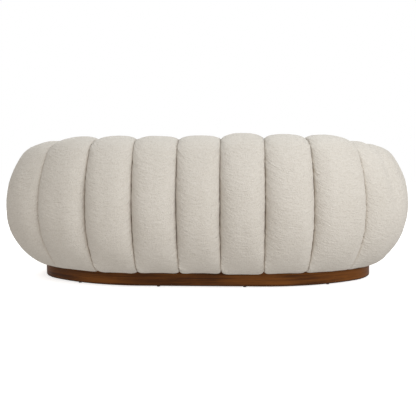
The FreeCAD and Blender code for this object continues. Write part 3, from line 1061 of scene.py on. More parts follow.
@dataclass(frozen=True)
class CrossFall:
    """How a channel swells between its two seams.

    At a share t of the half width, counted from the middle, the fullness is one less t to the
    power curve, and all that to the power tuck: a broad flat middle that turns in steeply.
    """

    curve: float = 2.5
    tuck: float = 0.62
    spacing: float = 0.62
    crowding: float = 0.65

    def columns(self, width: float, step: float) -> np.ndarray:
        """Places across the channel from -1 to 1, closer together near the seams.

        Args:
            width: the channel's width at its belly.
            step: distance wanted between columns.

        Returns:
            The places.
        """
        count = 2 * max(8, round(width * self.spacing / step)) + 1
        even = np.linspace(-1.0, 1.0, count)
        return (1.0 - self.crowding) * even + self.crowding * np.sin(math.pi / 2 * even)

    def fullness(self, places: np.ndarray) -> np.ndarray:
        """Fullness at each place across the channel."""
        return np.clip(1.0 - np.abs(places) ** self.curve, 0.0, 1.0) ** self.tuck


@dataclass(frozen=True)
class ClothRelief:
    """Small real unevenness of stretched looped cloth over wadding, in metres.

    Lumps are clumps of loops, streaks run across the channel, puckers stand out from each seam
    and die away with distance, and the swell is the wadding's slow unevenness.
    """

    lump: float = 0.00040
    streak: float = 0.00060
    pucker: float = 0.0019
    swell: float = 0.0022
    pucker_reach: float = 0.030
    pucker_start: float = 0.004
    fine_share: float = 0.5
    clear_of_seam: float = 0.006
    swell_clear: float = 0.03
    cells: tuple[Pair, ...] = ((0.0085, 0.0072), (0.026, 0.0078), (0.110, 0.021), (0.090, 0.011),
                               (0.075, 0.130))

    def heights(self, rng: np.random.Generator, across: np.ndarray, along: np.ndarray,
                seam: np.ndarray) -> np.ndarray:
        """Height of the relief at each point.

        Args:
            rng: seeded generator of this piece.
            across: distance across the piece.
            along: distance along the piece.
            seam: distance to the nearest seam.

        Returns:
            Heights in metres.
        """
        lumps, streaks, folds, fine_folds, swell = (
            lattice_noise(rng, across / wide, along / tall) for wide, tall in self.cells)
        near = np.exp(-seam / self.pucker_reach) * (1 - np.exp(-seam / self.pucker_start))
        clear = 1 - np.exp(-(seam / self.clear_of_seam) ** 2)
        return (clear * (self.lump * lumps + self.streak * streaks)
                + self.swell * swell * (1 - np.exp(-seam / self.swell_clear))
                + self.pucker * near * (folds + self.fine_share * fine_folds))


@dataclass(frozen=True)
class Seam:
    """A sewn seam: where it is, how shallow it is drawn, and how soft the painted crease shade
    along it is.
    """

    station: float
    shallow: float = 0.0
    # Softness of the painted crease shade along this seam.
    soft: float = 0.0


@dataclass(frozen=True)
class ChannelPlan:
    """One channel: its node, its seams along the plan and what sets it apart."""

    node: str
    side: int
    first: Seam
    last: Seam
    lift: float = 0.0
    bulge: float = 1.0
    hem_dip: float = 0.0
    crease_at: float = 0.0


@dataclass
class Upholstery:
    """The padded channels of the back and arms, the arms' noses and the aprons."""

    plan: OvalPlan
    shape: ChannelShape
    fall: CrossFall
    relief: ClothRelief
    cloth: bpy.types.Material
    seams: tuple[Seam, ...] = (Seam(0.100), Seam(0.303), Seam(0.498), Seam(0.722, 0.34, 0.0058),
                               Seam(0.974, 0.30, 0.0030))
    front_seam: float = 0.800
    nose_length: float = 0.112
    apron_count: int = 7
    crease_depth: float = 0.014
    crease_width: float = 0.024
    crease_band: Pair = (0.30, 0.20)
    hem_band: Pair = (0.07, 0.05)
    # crest_soft fades the painted crease shade towards the crest.
    crest_soft: float = 0.0042
    crest_soft_band: Pair = (0.590, 0.090)
    end_fade: float = 0.02
    seam_fade: float = 0.003
    apron_side: Triple = (0.122, 0.043, 0.236)
    apron_shoulder: Pair = (0.040, 0.006)
    apron_top_gap: Pair = (0.0006, 0.010)
    apron_back: float = -0.0117
    apron_runs: Triple = (0.24, 0.09, 0.12)
    nose_close: float = 2.6
    nose_sink: float = 0.36
    nose_reach: float = 1.03
    nose_full: Pair = (0.95, 0.6)
    channel_fill: float = 0.85
    nose_fill: float = 0.8
    seed: int = 41

    def all_seams(self) -> list[Seam]:
        """Seams of one side from the back to the front of the arm."""
        last = self.plan.half_way - self.front_seam
        return [*self.seams, Seam((self.seams[-1].station + last) / 2), Seam(last)]

    def channel_plans(self) -> list[ChannelPlan]:
        """The thirteen full-height channels, with the unevenness that the photograph shows.

        Returns:
            The centre one, and then each side's, from the back to the arm's front.
        """
        names = ("back_{}_inner", "back_{}_outer", "corner_{}_inner", "corner_{}_outer",
                 "arm_{}_rear", "arm_{}_front")
        own = {("back_{}_inner", Side.RIGHT): {"lift": 0.005, "hem_dip": 0.004},
               ("back_{}_inner", Side.LEFT): {"lift": -0.006},
               ("back_{}_outer", Side.LEFT): {"lift": -0.004},
               ("corner_{}_outer", Side.LEFT): {"bulge": 1.07},
               ("corner_{}_outer", Side.RIGHT): {"bulge": 1.10, "lift": -0.010,
                                                 "crease_at": 0.845}}
        across = Seam(-self.seams[0].station)
        plans = [ChannelPlan("channel_back_centre", 1, across, self.seams[0], lift=-0.006)]
        for side in Side:
            stops = self.all_seams()
            plans += [ChannelPlan("channel_" + name.format(side.word), side.value, start, end,
                                  **own.get((name, side), {}))
                      for name, start, end in zip(names, stops, stops[1:])]
        return plans

    def dress(self, piece: bpy.types.Object, node: str, cloth: dict[str, np.ndarray]) -> None:
        """Gives a padded piece its cloth, its body and its place among the nodes.

        Args:
            piece: the object.
            node: the node that it stands for.
            cloth: the cloth's measures at each point, by the attribute's name.
        """
        set_attributes(piece, cloth)
        settle(piece, self.cloth, "sofa", node)

    def solid(self, name: str, distance: np.ndarray, out: tuple, height: tuple, seed: int,
              soft: tuple[float, float | None] = (0.0, 0.0), crease_at: float = 0.0) -> tuple:
        """Closed mesh from sections that stand across the plan, with relief on its shown side.

        Args:
            name: the piece's name.
            distance: column of each section's distance along the plan.
            out: shown and hidden out values, rows by points.
            height: shown and hidden heights, rows by points.
            seed: what its random draws start from.
            soft: softness of the painted crease shade at the first and last seam; None for no seam
                at the last row.
            crease_at: distance along the plan of a shallow upright crease, or 0 for none.

        Returns:
            The object, and the cloth's measures at each point by the attribute's name.
        """
        x, y = self.plan.locate(distance, out[0])
        shown = np.stack([x, y, height[0]], axis=2)
        across, along = arc_lengths(shown, 0), arc_lengths(shown, 1)
        far = across[-1:] - across + (1.0 if soft[1] is None else 0.0)
        seam = np.minimum(across, far)
        normals = grid_normals(shown)
        middle = shown.shape[0] // 2, shown.shape[1] // 4
        away = shown[middle] - np.array([0.0, self.plan.centre_y, shown[middle][2]])
        if normals[middle] @ away < 0:
            normals = -normals
        ends = np.minimum(along, along[:, -1:] - along)
        fade = ramped(ends, 0.0, self.end_fade) * ramped(seam, 0.0, self.seam_fade)
        rise = self.relief.heights(np.random.default_rng(seed), across, along, seam) * fade
        if crease_at:
            groove = np.exp(-((np.abs(distance) - crease_at) / self.crease_width) ** 2)
            groove = groove * fade * ramped(height[0], *self.crease_band)
            rise = rise - self.crease_depth * groove
        shown = shown + normals * rise[..., None]
        x, y = self.plan.locate(distance, out[1])
        behind = np.stack([x, y, height[1]], axis=2)
        loop = np.concatenate([shown, behind], axis=1)
        piece = lofted(name, loop)
        # Distance that the wool material reads for its painted crease shade, softened at soft seams
        # and near the crest.
        line = np.minimum(across + soft[0], far + (soft[1] or 0.0))
        line = line + self.crest_soft * ramped(height[0], *self.crest_soft_band)
        rest = np.ones(behind.shape[:2])
        cloth = {"seam_distance": np.concatenate([line, rest], axis=1),
                 "across": np.concatenate([across, across[:, :1] * rest], axis=1),
                 "along": np.concatenate([along, along[:, -1:] + 0.05 * rest.cumsum(axis=1)],
                                         axis=1),
                 "layer": np.full(loop.shape[:2], float(seed))}
        return piece, cloth

    def build_channel(self, wanted: ChannelPlan, seed: int) -> None:
        """Makes one full-height channel.

        Args:
            wanted: the channel's plan.
            seed: what its random draws start from.
        """
        start, end = wanted.side * wanted.first.station, wanted.side * wanted.last.station
        middle, half = (start + end) / 2, (end - start) / 2
        belly_x, belly_y = self.plan.locate(np.array([start, middle, end]),
                                            np.full(3, self.shape.side_out[0]))
        width = float(np.hypot(np.diff(belly_x), np.diff(belly_y)).sum())
        places = self.fall.columns(width, self.shape.mesh_step)[:, None]
        distance = middle + half * places
        swell = self.fall.fullness(places)
        edge = np.where(places < 0, wanted.first.shallow, wanted.last.shallow)
        full = swell + (1 - swell) * edge + (wanted.bulge - 1) * swell ** 2
        drop = self.shape.drop(distance, self.plan.tip)
        out, height = self.shape.outer(full, drop, wanted.lift)
        height = height - wanted.hem_dip * full * (1 - ramped(height, *self.hem_band))
        piece, cloth = self.solid(wanted.node + "_pad", distance,
                                  *zip((out, height), self.shape.hidden(full)), seed,
                                  (wanted.first.soft, wanted.last.soft), wanted.crease_at)
        self.dress(piece, wanted.node, cloth)

    def build_nose(self, side: Side, seed: int) -> None:
        """Makes the rounded pillow that closes the front of an arm.

        The section shrinks towards a line as a superellipse closes: by one less the root of
        one less the share to a power.

        Args:
            side: the arm's side.
            seed: what its random draws start from.
        """
        seam = self.plan.half_way - self.front_seam
        count = 2 * round(self.nose_length * 1.6 / self.shape.mesh_step)
        even = np.linspace(0.0, 1.0, count)[:, None]
        share = np.sin(math.pi / 2 * even)
        distance = side.value * (seam + self.nose_reach * self.nose_length * share)
        start = 1 - np.clip(1 - 2 * even, 0.0, 1.0) ** self.nose_close
        full = self.nose_full[0] * start ** self.nose_full[1]
        shrink = 1 - np.sqrt(np.clip(1 - share ** self.nose_close, 0.0, 1.0))
        drop = self.shape.drop(distance, self.plan.tip)
        out, height = self.shape.outer(full, drop, 0.0)
        back_out, back_height = self.shape.hidden(full)
        seat = self.shape.foot_height
        anchor = self.shape.hem_out[0]
        outs = tuple(anchor + (values - anchor) * (1 - shrink) for values in (out, back_out))
        heights = tuple(values - np.maximum(values - seat, 0.0) * self.nose_sink * shrink
                        for values in (height, back_height))
        piece, cloth = self.solid(f"arm_nose_{side.word}_pad", distance, outs, heights, seed,
                                  (0.0, None))
        self.dress(piece, "arm_nose_" + side.word, cloth)

    def build_apron(self, number: int, seed: int) -> None:
        """Makes one short channel below the seat.

        Args:
            number: its number from the sitter's left.
            seed: what its random draws start from.
        """
        start = self.plan.half_way - self.front_seam + self.nose_length
        pitch = 2 * (self.plan.half_way - start) / self.apron_count
        middle = start + pitch * (number - 0.5)
        places = self.fall.columns(pitch * 1.2, self.shape.mesh_step)[:, None]
        full = self.fall.fullness(places)
        distance = middle + pitch / 2 * places
        out, height, back_out, back_height = self.apron_outline(full)
        piece, cloth = self.solid(f"apron_channel_{number}_pad", distance, (out, back_out),
                                  (height, back_height), seed)
        self.dress(piece, f"apron_channel_{number}", cloth)

    def apron_outline(self, full: np.ndarray) -> tuple:
        """Outline of an apron: hem, side, shoulder and flat top, and the line behind it.

        Args:
            full: column of fullness.

        Returns:
            Out and height of the shown side, then of the hidden side.
        """
        shape, back = self.shape, self.apron_back
        hem = (between(shape.hem_out, full), between(shape.hem_height, full))
        side_seam, side_swell, side_height = self.apron_side
        side = (side_seam + side_swell * full, np.full_like(full, side_height))
        top = shape.foot_height - self.apron_top_gap[0] - self.apron_top_gap[1] * (1 - full)
        shoulder = self.apron_shoulder[0] + self.apron_shoulder[1] * full
        lower_run, bend_run, flat_run = self.apron_runs
        lower = quarter_oval(hem, side, np.full_like(full, shape.hem_radius),
                             shape.shares(lower_run))
        turn = shape.shares(bend_run) * math.pi / 2
        bend = (side[0] - shoulder * (1 - np.cos(turn)), side[1] + (top - side[1]) * np.sin(turn))
        run = np.append(shape.shares(flat_run), [[1.0]], axis=1)
        flat = (side[0] - shoulder + (back - side[0] + shoulder) * run, top + 0.0 * run)
        out = np.concatenate([lower[0], bend[0], flat[0]], axis=1)
        height = np.concatenate([lower[1], bend[1], flat[1]], axis=1)
        corners = ((back, shape.frame_foot[1]), shape.frame_foot,
                   (shape.frame_foot[0], shape.hem_height[1]))
        return (out, height, *columns_of(corners, full))

    def build(self) -> None:
        """Makes every channel, nose and apron."""
        for number, wanted in enumerate(self.channel_plans()):
            self.build_channel(wanted, self.seed + number)
        for side in Side:
            self.build_nose(side, self.seed + 50 + side.value)
        for number in range(1, self.apron_count + 1):
            self.build_apron(number, self.seed + 70 + number)


# The plinth


@dataclass
class PlinthWalls:
    """The two bent timber walls of the plinth, with rounded arrises."""

    plan: OvalPlan
    timber: bpy.types.Material
    foot: float
    top: float
    thickness: float = 0.018
    arris: float = 0.0022
    arris_steps: int = 5
    flat_steps: int = 9
    flat_inset: float = 0.004
    end_gap: float = 1e-5
    step: float = 0.008

    def profile(self) -> tuple[np.ndarray, np.ndarray, np.ndarray]:
        """Rounded rectangle across the wall.

        Returns:
            Out and height of each point, and how much of the edge's wear it has.
        """
        corners = ((0.0, self.foot, -90.0), (0.0, self.top, 0.0),
                   (-self.thickness, self.top, 90.0), (-self.thickness, self.foot, 180.0))
        out, height, wear = [], [], []
        for corner_out, corner_height, start in corners:
            middle_out = corner_out - math.copysign(self.arris, corner_out + self.thickness / 2)
            lift = self.arris if corner_height == self.foot else -self.arris
            angle = np.radians(np.linspace(start, start + 90.0, self.arris_steps))
            out.append(middle_out + self.arris * np.cos(angle))
            height.append(corner_height + lift + self.arris * np.sin(angle))
            wear.append(np.ones(self.arris_steps))
        flat = np.linspace(self.foot + self.flat_inset, self.top - self.flat_inset,
                           self.flat_steps)
        out.insert(1, np.zeros(self.flat_steps))
        height.insert(1, flat)
        wear.insert(1, np.zeros(self.flat_steps))
        return np.concatenate(out), np.concatenate(height), np.concatenate(wear)

    def build(self) -> None:
        """Makes the rear wall and the front wall, which meet at the ends of the oval."""
        halves = (("plinth_wall_rear", -self.plan.tip), ("plinth_wall_front", self.plan.tip))
        out, height, wear = self.profile()
        count = round(2 * self.plan.tip / self.step)
        for node, start in halves:
            distance = np.linspace(start, start + 2 * self.plan.tip, count)[:, None]
            inner = distance.copy()
            inner[[0, -1]] += [[self.end_gap], [-self.end_gap]]
            x, y = self.plan.locate(inner, out[None, :])
            piece = lofted(node + "_shaped", np.stack([x, y, height[None, :] + 0.0 * x], axis=2))
            set_attributes(piece, {"edge_wear": np.tile(wear, count)})
            self.lay_map(piece, distance, out, height)
            settle(piece, self.timber, "sofa", node)

    def lay_map(self, piece: bpy.types.Object, distance: np.ndarray, out: np.ndarray,
                height: np.ndarray) -> None:
        """Lays the map in metres: along the wall, and round its section.

        Args:
            piece: the wall.
            distance: column of distances along the plan.
            out: out of each point of the section.
            height: height of each point of the section.
        """
        along = np.broadcast_to(distance, (len(distance), len(out)))
        table = np.stack([along, np.broadcast_to(height - out, along.shape)], axis=2)
        loops = np.empty(len(piece.data.loops), np.int32)
        piece.data.loops.foreach_get("vertex_index", loops)
        layer = piece.data.uv_layers.new(name="grain")
        layer.data.foreach_set("uv", table.reshape(-1, 2)[loops].astype(np.float32).ravel())


# The loose cushion, the deck and the zip


def resampled(line: np.ndarray, count: int, smooth: int = 0) -> np.ndarray:
    """Even points along a closed line, with its corners eased by repeated averaging.

    Args:
        line: points of the line, one row each; the last joins the first.
        count: number of points wanted.
        smooth: how many times each point is averaged with its neighbours.

    Returns:
        The points.
    """
    ring = np.concatenate([line, line[:1]])
    walked = np.concatenate([[0.0], np.cumsum(np.linalg.norm(np.diff(ring, axis=0), axis=1))])
    stops = np.linspace(0.0, walked[-1], count, endpoint=False)
    even = np.stack([np.interp(stops, walked, ring[:, k]) for k in range(2)], axis=1)
    for _ in range(smooth):
        even = (np.roll(even, 1, axis=0) + 2 * even + np.roll(even, -1, axis=0)) / 4
    return even


def stacked_rings(name: str, outline: np.ndarray, insets: np.ndarray,
                  heights: np.ndarray) -> bpy.types.Object:
    """Closed form of rings that shrink to a point at both ends.

    Each ring is the outline drawn towards its middle by a distance.

    Args:
        name: the piece's name.
        outline: the widest ring.
        insets: distance of each ring from the outline, in metres.
        heights: height of each ring, from the bottom ring to the top one.

    Returns:
        The object.
    """
    middle = (outline.min(axis=0) + outline.max(axis=0)) / 2
    reach = outline - middle
    length = np.linalg.norm(reach, axis=1, keepdims=True)
    scale = np.clip(1 - insets[:, None, None] / length[None], 0.0, 1.0)
    flat = middle + reach[None] * scale
    upright = np.broadcast_to(heights[:, None, None], (*flat.shape[:2], 1))
    return lofted(name, np.concatenate([flat, upright], axis=2))


def applied(piece: bpy.types.Object) -> None:
    """Makes the modifiers of a piece part of its mesh.

    Args:
        piece: the object.
    """
    shown = bpy.context.evaluated_depsgraph_get()
    mesh = bpy.data.meshes.new_from_object(piece.evaluated_get(shown))
    old = piece.data
    piece.modifiers.clear()
    piece.data = mesh
    bpy.data.meshes.remove(old)


@dataclass
class DeckAndCushion:
    """The loose bench cushion, and the pad and cloth under it."""

    plan: OvalPlan
    wool: bpy.types.Material
    finishes: dict[str, bpy.types.Material]
    front_seam: float = 0.800
    nose_length: float = 0.112
    deck_rear_out: float = -0.1154
    deck_front_out: float = -0.020
    deck_end_gap: float = 0.0012
    deck_lines: tuple[int, int] = (400, 240)
    deck_points: int = 300
    deck_rings: int = 16
    deck_inset: float = 0.34
    rear_out: float = -0.176
    front_out: float = 0.152
    side_gap: float = 0.048
    ear_gap: float = 0.0845
    neck_drop: float = 0.030
    corner_radius: float = 0.062
    rear_points: int = 500
    round_points: int = 600
    front_points: int = 240
    corner_points: int = 24
    seam_inset: float = 0.005
    boxing_foot: float = 0.322
    boxing_top: float = 0.404
    boxing_rings: int = 9
    crown_insets: Pair = (0.012, 0.30)
    crown_rings: int = 22
    crown_reach: float = 0.05
    crown_step: float = 0.003
    under_insets: Pair = (0.30, 0.020)
    under_rings: int = 14
    under_edge: tuple[Pair, ...] = ((0.014, 0.003), (0.009, 0.010))
    start_rise: float = 0.022
    voxel: float = 0.0095
    pressure: float = 4.0
    most_swell: float = 0.024
    seam_groove: float = 0.0024
    groove_width: float = 0.0045
    clearance: float = 0.0002
    gap: float = 0.0003
    rim: float = 0.010
    underside: float = 0.004
    held_seam: Pair = (0.006, 0.014)
    cloth_quality: int = 5
    cloth_frames: int = 20
    start_points: int = 640
    plan_points: int = 1600
    lump: float = 0.00045
    lump_cell: Triple = (0.008, 0.008, 0.007)
    unevenness: float = 0.0013
    uneven_cell: Triple = (0.11, 0.09, 0.05)
    fold: float = 0.0013
    fold_cell: Triple = (0.020, 0.020, 0.060)
    fold_reach: Pair = (0.022, 0.004)
    zip_fade: Pair = (0.020, 0.012)
    zip_depth: float = 0.03
    pad_edge: float = 0.0060
    pad_lumps: float = 0.0011
    cloth_edge: float = 0.0006
    pad_fill: float = 0.5
    cushion_fill: float = 0.75
    seed: int = 7

    def line(self, start: float, stop: float, out: float, count: int) -> np.ndarray:
        """Even points along the plan, at one distance outwards from it.

        Args:
            start: distance along the plan where the line starts.
            stop: distance along the plan where it stops.
            out: distance outwards.
            count: number of points.

        Returns:
            One row of X and Y for each point.
        """
        return np.stack(self.plan.locate(np.linspace(start, stop, count), np.full(count, out)),
                        axis=1)

    def deck_outline(self) -> np.ndarray:
        """Plan of the deck: the well between the arms and the line behind the aprons.

        Returns:
            Points of a closed line.
        """
        end = self.plan.half_way - self.front_seam + self.deck_end_gap
        lines = ((-end, end, self.deck_rear_out),
                 (end, 2 * self.plan.half_way - end, self.deck_front_out))
        return np.concatenate([self.line(start, stop, out, count)
                               for (start, stop, out), count in zip(lines, self.deck_lines)])

    def cushion_outline(self) -> np.ndarray:
        """Plan of the cushion: the rear line between its ears, its sides and its bowed front.

        Returns:
            Points of a closed line.
        """
        end = self.plan.half_way - self.front_seam - self.ear_gap
        rear = self.line(-end, end, self.rear_out, self.rear_points)
        tip = self.plan.locate(np.array([self.plan.half_way - self.front_seam
                                         + self.nose_length]), np.zeros(1))
        half = float(tip[0][0]) - self.side_gap
        edge_x = half - self.corner_radius
        middle_y = self.plan.centre_y - self.plan.half_depth - self.front_out
        x, y = self.line(self.plan.tip, self.plan.half_way, self.front_out, self.round_points).T
        edge_y = float(np.interp(edge_x, x[::-1], y[::-1]))
        rise = edge_y - middle_y
        radius = (edge_x ** 2 + rise ** 2) / (2 * rise)
        front_x = np.linspace(edge_x, -edge_x, self.front_points)
        front = np.stack([front_x, middle_y + radius - np.sqrt(radius ** 2 - front_x ** 2)], axis=1)
        turn = np.linspace(0.0, math.pi / 2, self.corner_points)[1:-1]
        corner_y = float(np.interp(half, x[::-1], y[::-1])) + self.corner_radius
        corner = np.stack([edge_x + self.corner_radius * np.cos(turn),
                           corner_y - (corner_y - edge_y) * np.sin(turn)], axis=1)
        neck = np.array([[half, rear[-1, 1] - self.neck_drop], [half, corner_y]])
        across = np.array([[-1.0, 1.0]])
        return np.concatenate([rear, neck, corner, front, corner[::-1] * across,
                               neck[::-1] * across])

    def flat_form(self, name: str, foot: float, top: float, edge: float,
                  lumps: float) -> tuple[bpy.types.Object, np.ndarray]:
        """Flat padded or woven layer in the deck's outline, with rounded edges.

        Args:
            name: the piece's name.
            foot: height of its underside.
            top: height of its top.
            edge: radius of its edges.
            lumps: height of the unevenness of its top, which only goes down.

        Returns:
            The piece and its outline.
        """
        outline = resampled(self.deck_outline(), self.deck_points, 3)
        turn = np.linspace(0.0, math.pi / 2, 6)
        inwards = np.geomspace(2.2 * edge, self.deck_inset, self.deck_rings)
        shrink = np.concatenate([inwards[::-1], edge * (1 - np.sin(turn)),
                                 edge * (1 - np.cos(turn)), inwards])
        rise = np.concatenate([np.full(self.deck_rings, foot), foot + edge * (1 - np.cos(turn)),
                               top - edge + edge * np.sin(turn), np.full(self.deck_rings, top)])
        piece = stacked_rings(name, outline, shrink, rise)
        points = point_array(piece)
        rng = np.random.default_rng(self.seed)
        dents = np.abs(space_noise(rng, points, (0.06, 0.06, 0.2)))
        points[:, 2] -= np.where(points[:, 2] > top - edge / 2, lumps * dents, 0.0)
        set_points(piece, points)
        return piece, outline

    def build_deck(self) -> None:
        """Makes the deck pad and the deck cloth."""
        low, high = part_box("deck_pad")
        pad, _ = self.flat_form("deck_pad_felt", low.z + self.clearance, high.z - self.clearance,
                                self.pad_edge, self.pad_lumps)
        settle(pad, self.finishes["deck_pad"], "sofa", "deck_pad")
        low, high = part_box("deck_cloth")
        cloth, outline = self.flat_form("deck_cloth_sheet", low.z, high.z, self.cloth_edge, 0.0)
        settle(cloth, self.finishes["deck_cloth"], "sofa", "deck_cloth")

    def starting_form(self, foot: float) -> bpy.types.Object:
        """The cushion before it swells: boxing between two seams and a low crown.

        Args:
            foot: height of its underside.

        Returns:
            The piece.
        """
        outline = resampled(self.cushion_outline(), self.start_points, 4)
        inset = self.seam_inset
        side = np.linspace(0.0, 1.0, self.boxing_rings)
        bow = inset * (1 - np.sqrt(np.clip(1 - (2 * side - 1) ** 2, 0.0, 1.0)))
        crown = np.geomspace(*self.crown_insets, self.crown_rings)
        lift = 1 - np.exp(-(crown - inset) / self.crown_reach)
        under = np.geomspace(*self.under_insets, self.under_rings)
        edge_insets, edge_rises = np.array(self.under_edge).T
        shrink = np.concatenate([under, edge_insets, bow, crown])
        rise = np.concatenate([np.full(self.under_rings, foot), foot + edge_rises,
                               self.boxing_foot + (self.boxing_top - self.boxing_foot) * side,
                               self.boxing_top + self.crown_step + self.start_rise * lift])
        return stacked_rings("seat_cushion_pad", outline, shrink, rise)

    def swell(self, piece: bpy.types.Object, foot: float) -> None:
        """Lets cloth pressure fill the cushion, with its seams and underside held.

        Args:
            piece: the cushion.
            foot: height of its underside.
        """
        remesh = piece.modifiers.new("even_mesh", "REMESH")
        remesh.mode = "VOXEL"
        remesh.voxel_size = self.voxel
        applied(piece)
        start = point_array(piece)
        inset = self.depth_inside(start)
        seams = np.minimum(abs(start[:, 2] - self.boxing_top), abs(start[:, 2] - self.boxing_foot))
        held = (seams < self.held_seam[0]) & (inset < self.held_seam[1])
        held |= start[:, 2] < foot + self.underside
        group = piece.vertex_groups.new(name="held")
        group.add(np.flatnonzero(held).tolist(), 1.0, "REPLACE")
        cloth = piece.modifiers.new("fill", "CLOTH")
        cloth.settings.use_pressure = True
        cloth.settings.uniform_pressure_force = self.pressure
        cloth.settings.vertex_group_mass = "held"
        cloth.settings.effector_weights.gravity = 0.0
        cloth.settings.quality = self.cloth_quality
        cloth.collision_settings.use_collision = False
        scene = bpy.context.scene
        for number in range(1, self.cloth_frames + 1):
            scene.frame_set(number)
        applied(piece)
        scene.frame_set(1)
        moved = point_array(piece) - start
        length = np.linalg.norm(moved, axis=1, keepdims=True)
        moved *= (np.tanh(length / self.most_swell) * self.most_swell
                  / np.maximum(length, SHORT_STEP))
        set_points(piece, start + moved)

    def depth_inside(self, points: np.ndarray) -> np.ndarray:
        """How far inside the cushion's outline each point is, along the ray from its middle.

        Args:
            points: places, one row each.

        Returns:
            Distances, negative outside.
        """
        reach, radius, _ = self.polar(points)
        return reach - radius

    def polar(self, points: np.ndarray) -> tuple[np.ndarray, np.ndarray, np.ndarray]:
        """The outline's distance from its middle in each point's direction, and the point's own.

        Args:
            points: places, one row each.

        Returns:
            The outline's distances, the points' own distances, and the middle.
        """
        outline = resampled(self.cushion_outline(), self.plan_points, 6)
        middle = (outline.min(axis=0) + outline.max(axis=0)) / 2
        ring = outline - middle
        angle = np.arctan2(ring[:, 1], ring[:, 0])
        order = np.argsort(angle)
        offset = points[:, :2] - middle
        own = np.arctan2(offset[:, 1], offset[:, 0])
        reach = np.interp(own, angle[order], np.linalg.norm(ring, axis=1)[order],
                          period=2 * math.pi)
        return reach, np.linalg.norm(offset, axis=1), middle

    def build_cushion(self) -> None:
        """Makes the cushion: swelled form, drawn-in seams, flat underside and looped surface."""
        low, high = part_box("seat_cushion")
        foot = low.z + self.gap
        piece = self.starting_form(foot)
        self.swell(piece, foot)
        finer = piece.modifiers.new("finer", "SUBSURF")
        finer.levels = finer.render_levels = 1
        applied(piece)
        points, normals = point_array(piece), point_array(piece, "normal")
        inset = self.depth_inside(points)
        past_rim = np.maximum(inset - self.rim, 0.0)
        seam = np.minimum(np.hypot(points[:, 2] - self.boxing_top, past_rim),
                          np.hypot(points[:, 2] - self.boxing_foot, past_rim))
        rng = np.random.default_rng(self.seed)
        lumps = self.lump * space_noise(rng, points, self.lump_cell)
        swell = self.unevenness * space_noise(rng, points, self.uneven_cell)
        folds = self.fold * space_noise(rng, points, self.fold_cell)
        reach_out, start_out = self.fold_reach
        folds *= np.exp(-seam / reach_out) * (1 - np.exp(-seam / start_out))
        rise = lumps + swell + folds
        rise -= self.seam_groove * np.exp(-(seam / self.groove_width) ** 2)
        points += normals * (rise * (points[:, 2] > foot + self.underside))[:, None]
        reach, radius, middle = self.polar(points)
        share = np.minimum(1.0, (reach - 2 * self.clearance) / np.maximum(radius, SHORT_STEP))
        points[:, :2] = middle + (points[:, :2] - middle) * share[:, None]
        points[:, 2] = np.clip(points[:, 2], foot, high.z + self.rim)
        self.flatten_behind_zip(points)
        set_points(piece, points)
        piece.data.shade_smooth()
        # seam_distance lets the wool material paint crease shade along the cushion's seams.
        set_attributes(piece, {"seam_distance": seam, "across": points[:, 0],
                               "along": points[:, 1] + points[:, 2],
                               "layer": np.zeros(len(points))})
        settle(piece, self.wool, "cushion", "seat_cushion")

    def flatten_behind_zip(self, points: np.ndarray) -> None:
        """Presses the back of the boxing flat where the zip's tape is sewn to it.

        Args:
            points: the cushion's points, changed in place.
        """
        low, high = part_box("zip_tape")
        middle = (low.z + high.z) / 2
        fade_along, fade_up = self.zip_fade
        over = np.maximum(abs(points[:, 0]) - high.x, 0.0) / fade_along
        above = np.maximum(abs(points[:, 2] - middle) - (high.z - middle), 0.0) / fade_up
        share = np.where(points[:, 1] > low.y - self.zip_depth,
                         np.clip(1 - np.hypot(over, above), 0.0, 1.0), 0.0)
        points[:, 1] += eased(share) * (low.y - self.gap - points[:, 1])


def signed_power(value: np.ndarray, power: float) -> np.ndarray:
    """A value's size raised to a power, with the value's own sign."""
    return np.sign(value) * np.abs(value) ** power


def rounded_block(name: str, centre: Vector, size: Triple, roundness: float,
                  count: int) -> bpy.types.Object:
    """Block with rounded edges: a superellipsoid with even more square sides.

    Each axis is the cosine or sine of the two angles, raised to the power that roundness
    gives, so 0 is square and 1 is an ellipsoid.

    Args:
        name: the piece's name.
        centre: its middle.
        size: its whole length on each axis.
        roundness: from 0 to 1.
        count: points round it.

    Returns:
        The object.
    """
    power = max(roundness, 0.05)
    turn = np.linspace(-math.pi, math.pi, count, endpoint=False)[None, :]
    lift = np.linspace(-math.pi / 2, math.pi / 2, count // 2 + 1)[1:-1, None]
    ring = signed_power(np.cos(lift), power)
    shape = np.stack([signed_power(np.sin(lift), power) + 0.0 * turn,
                      ring * signed_power(np.cos(turn), power),
                      ring * signed_power(np.sin(turn), power)], axis=2)
    return lofted(name, shape * np.array(size) / 2 + np.array(centre))


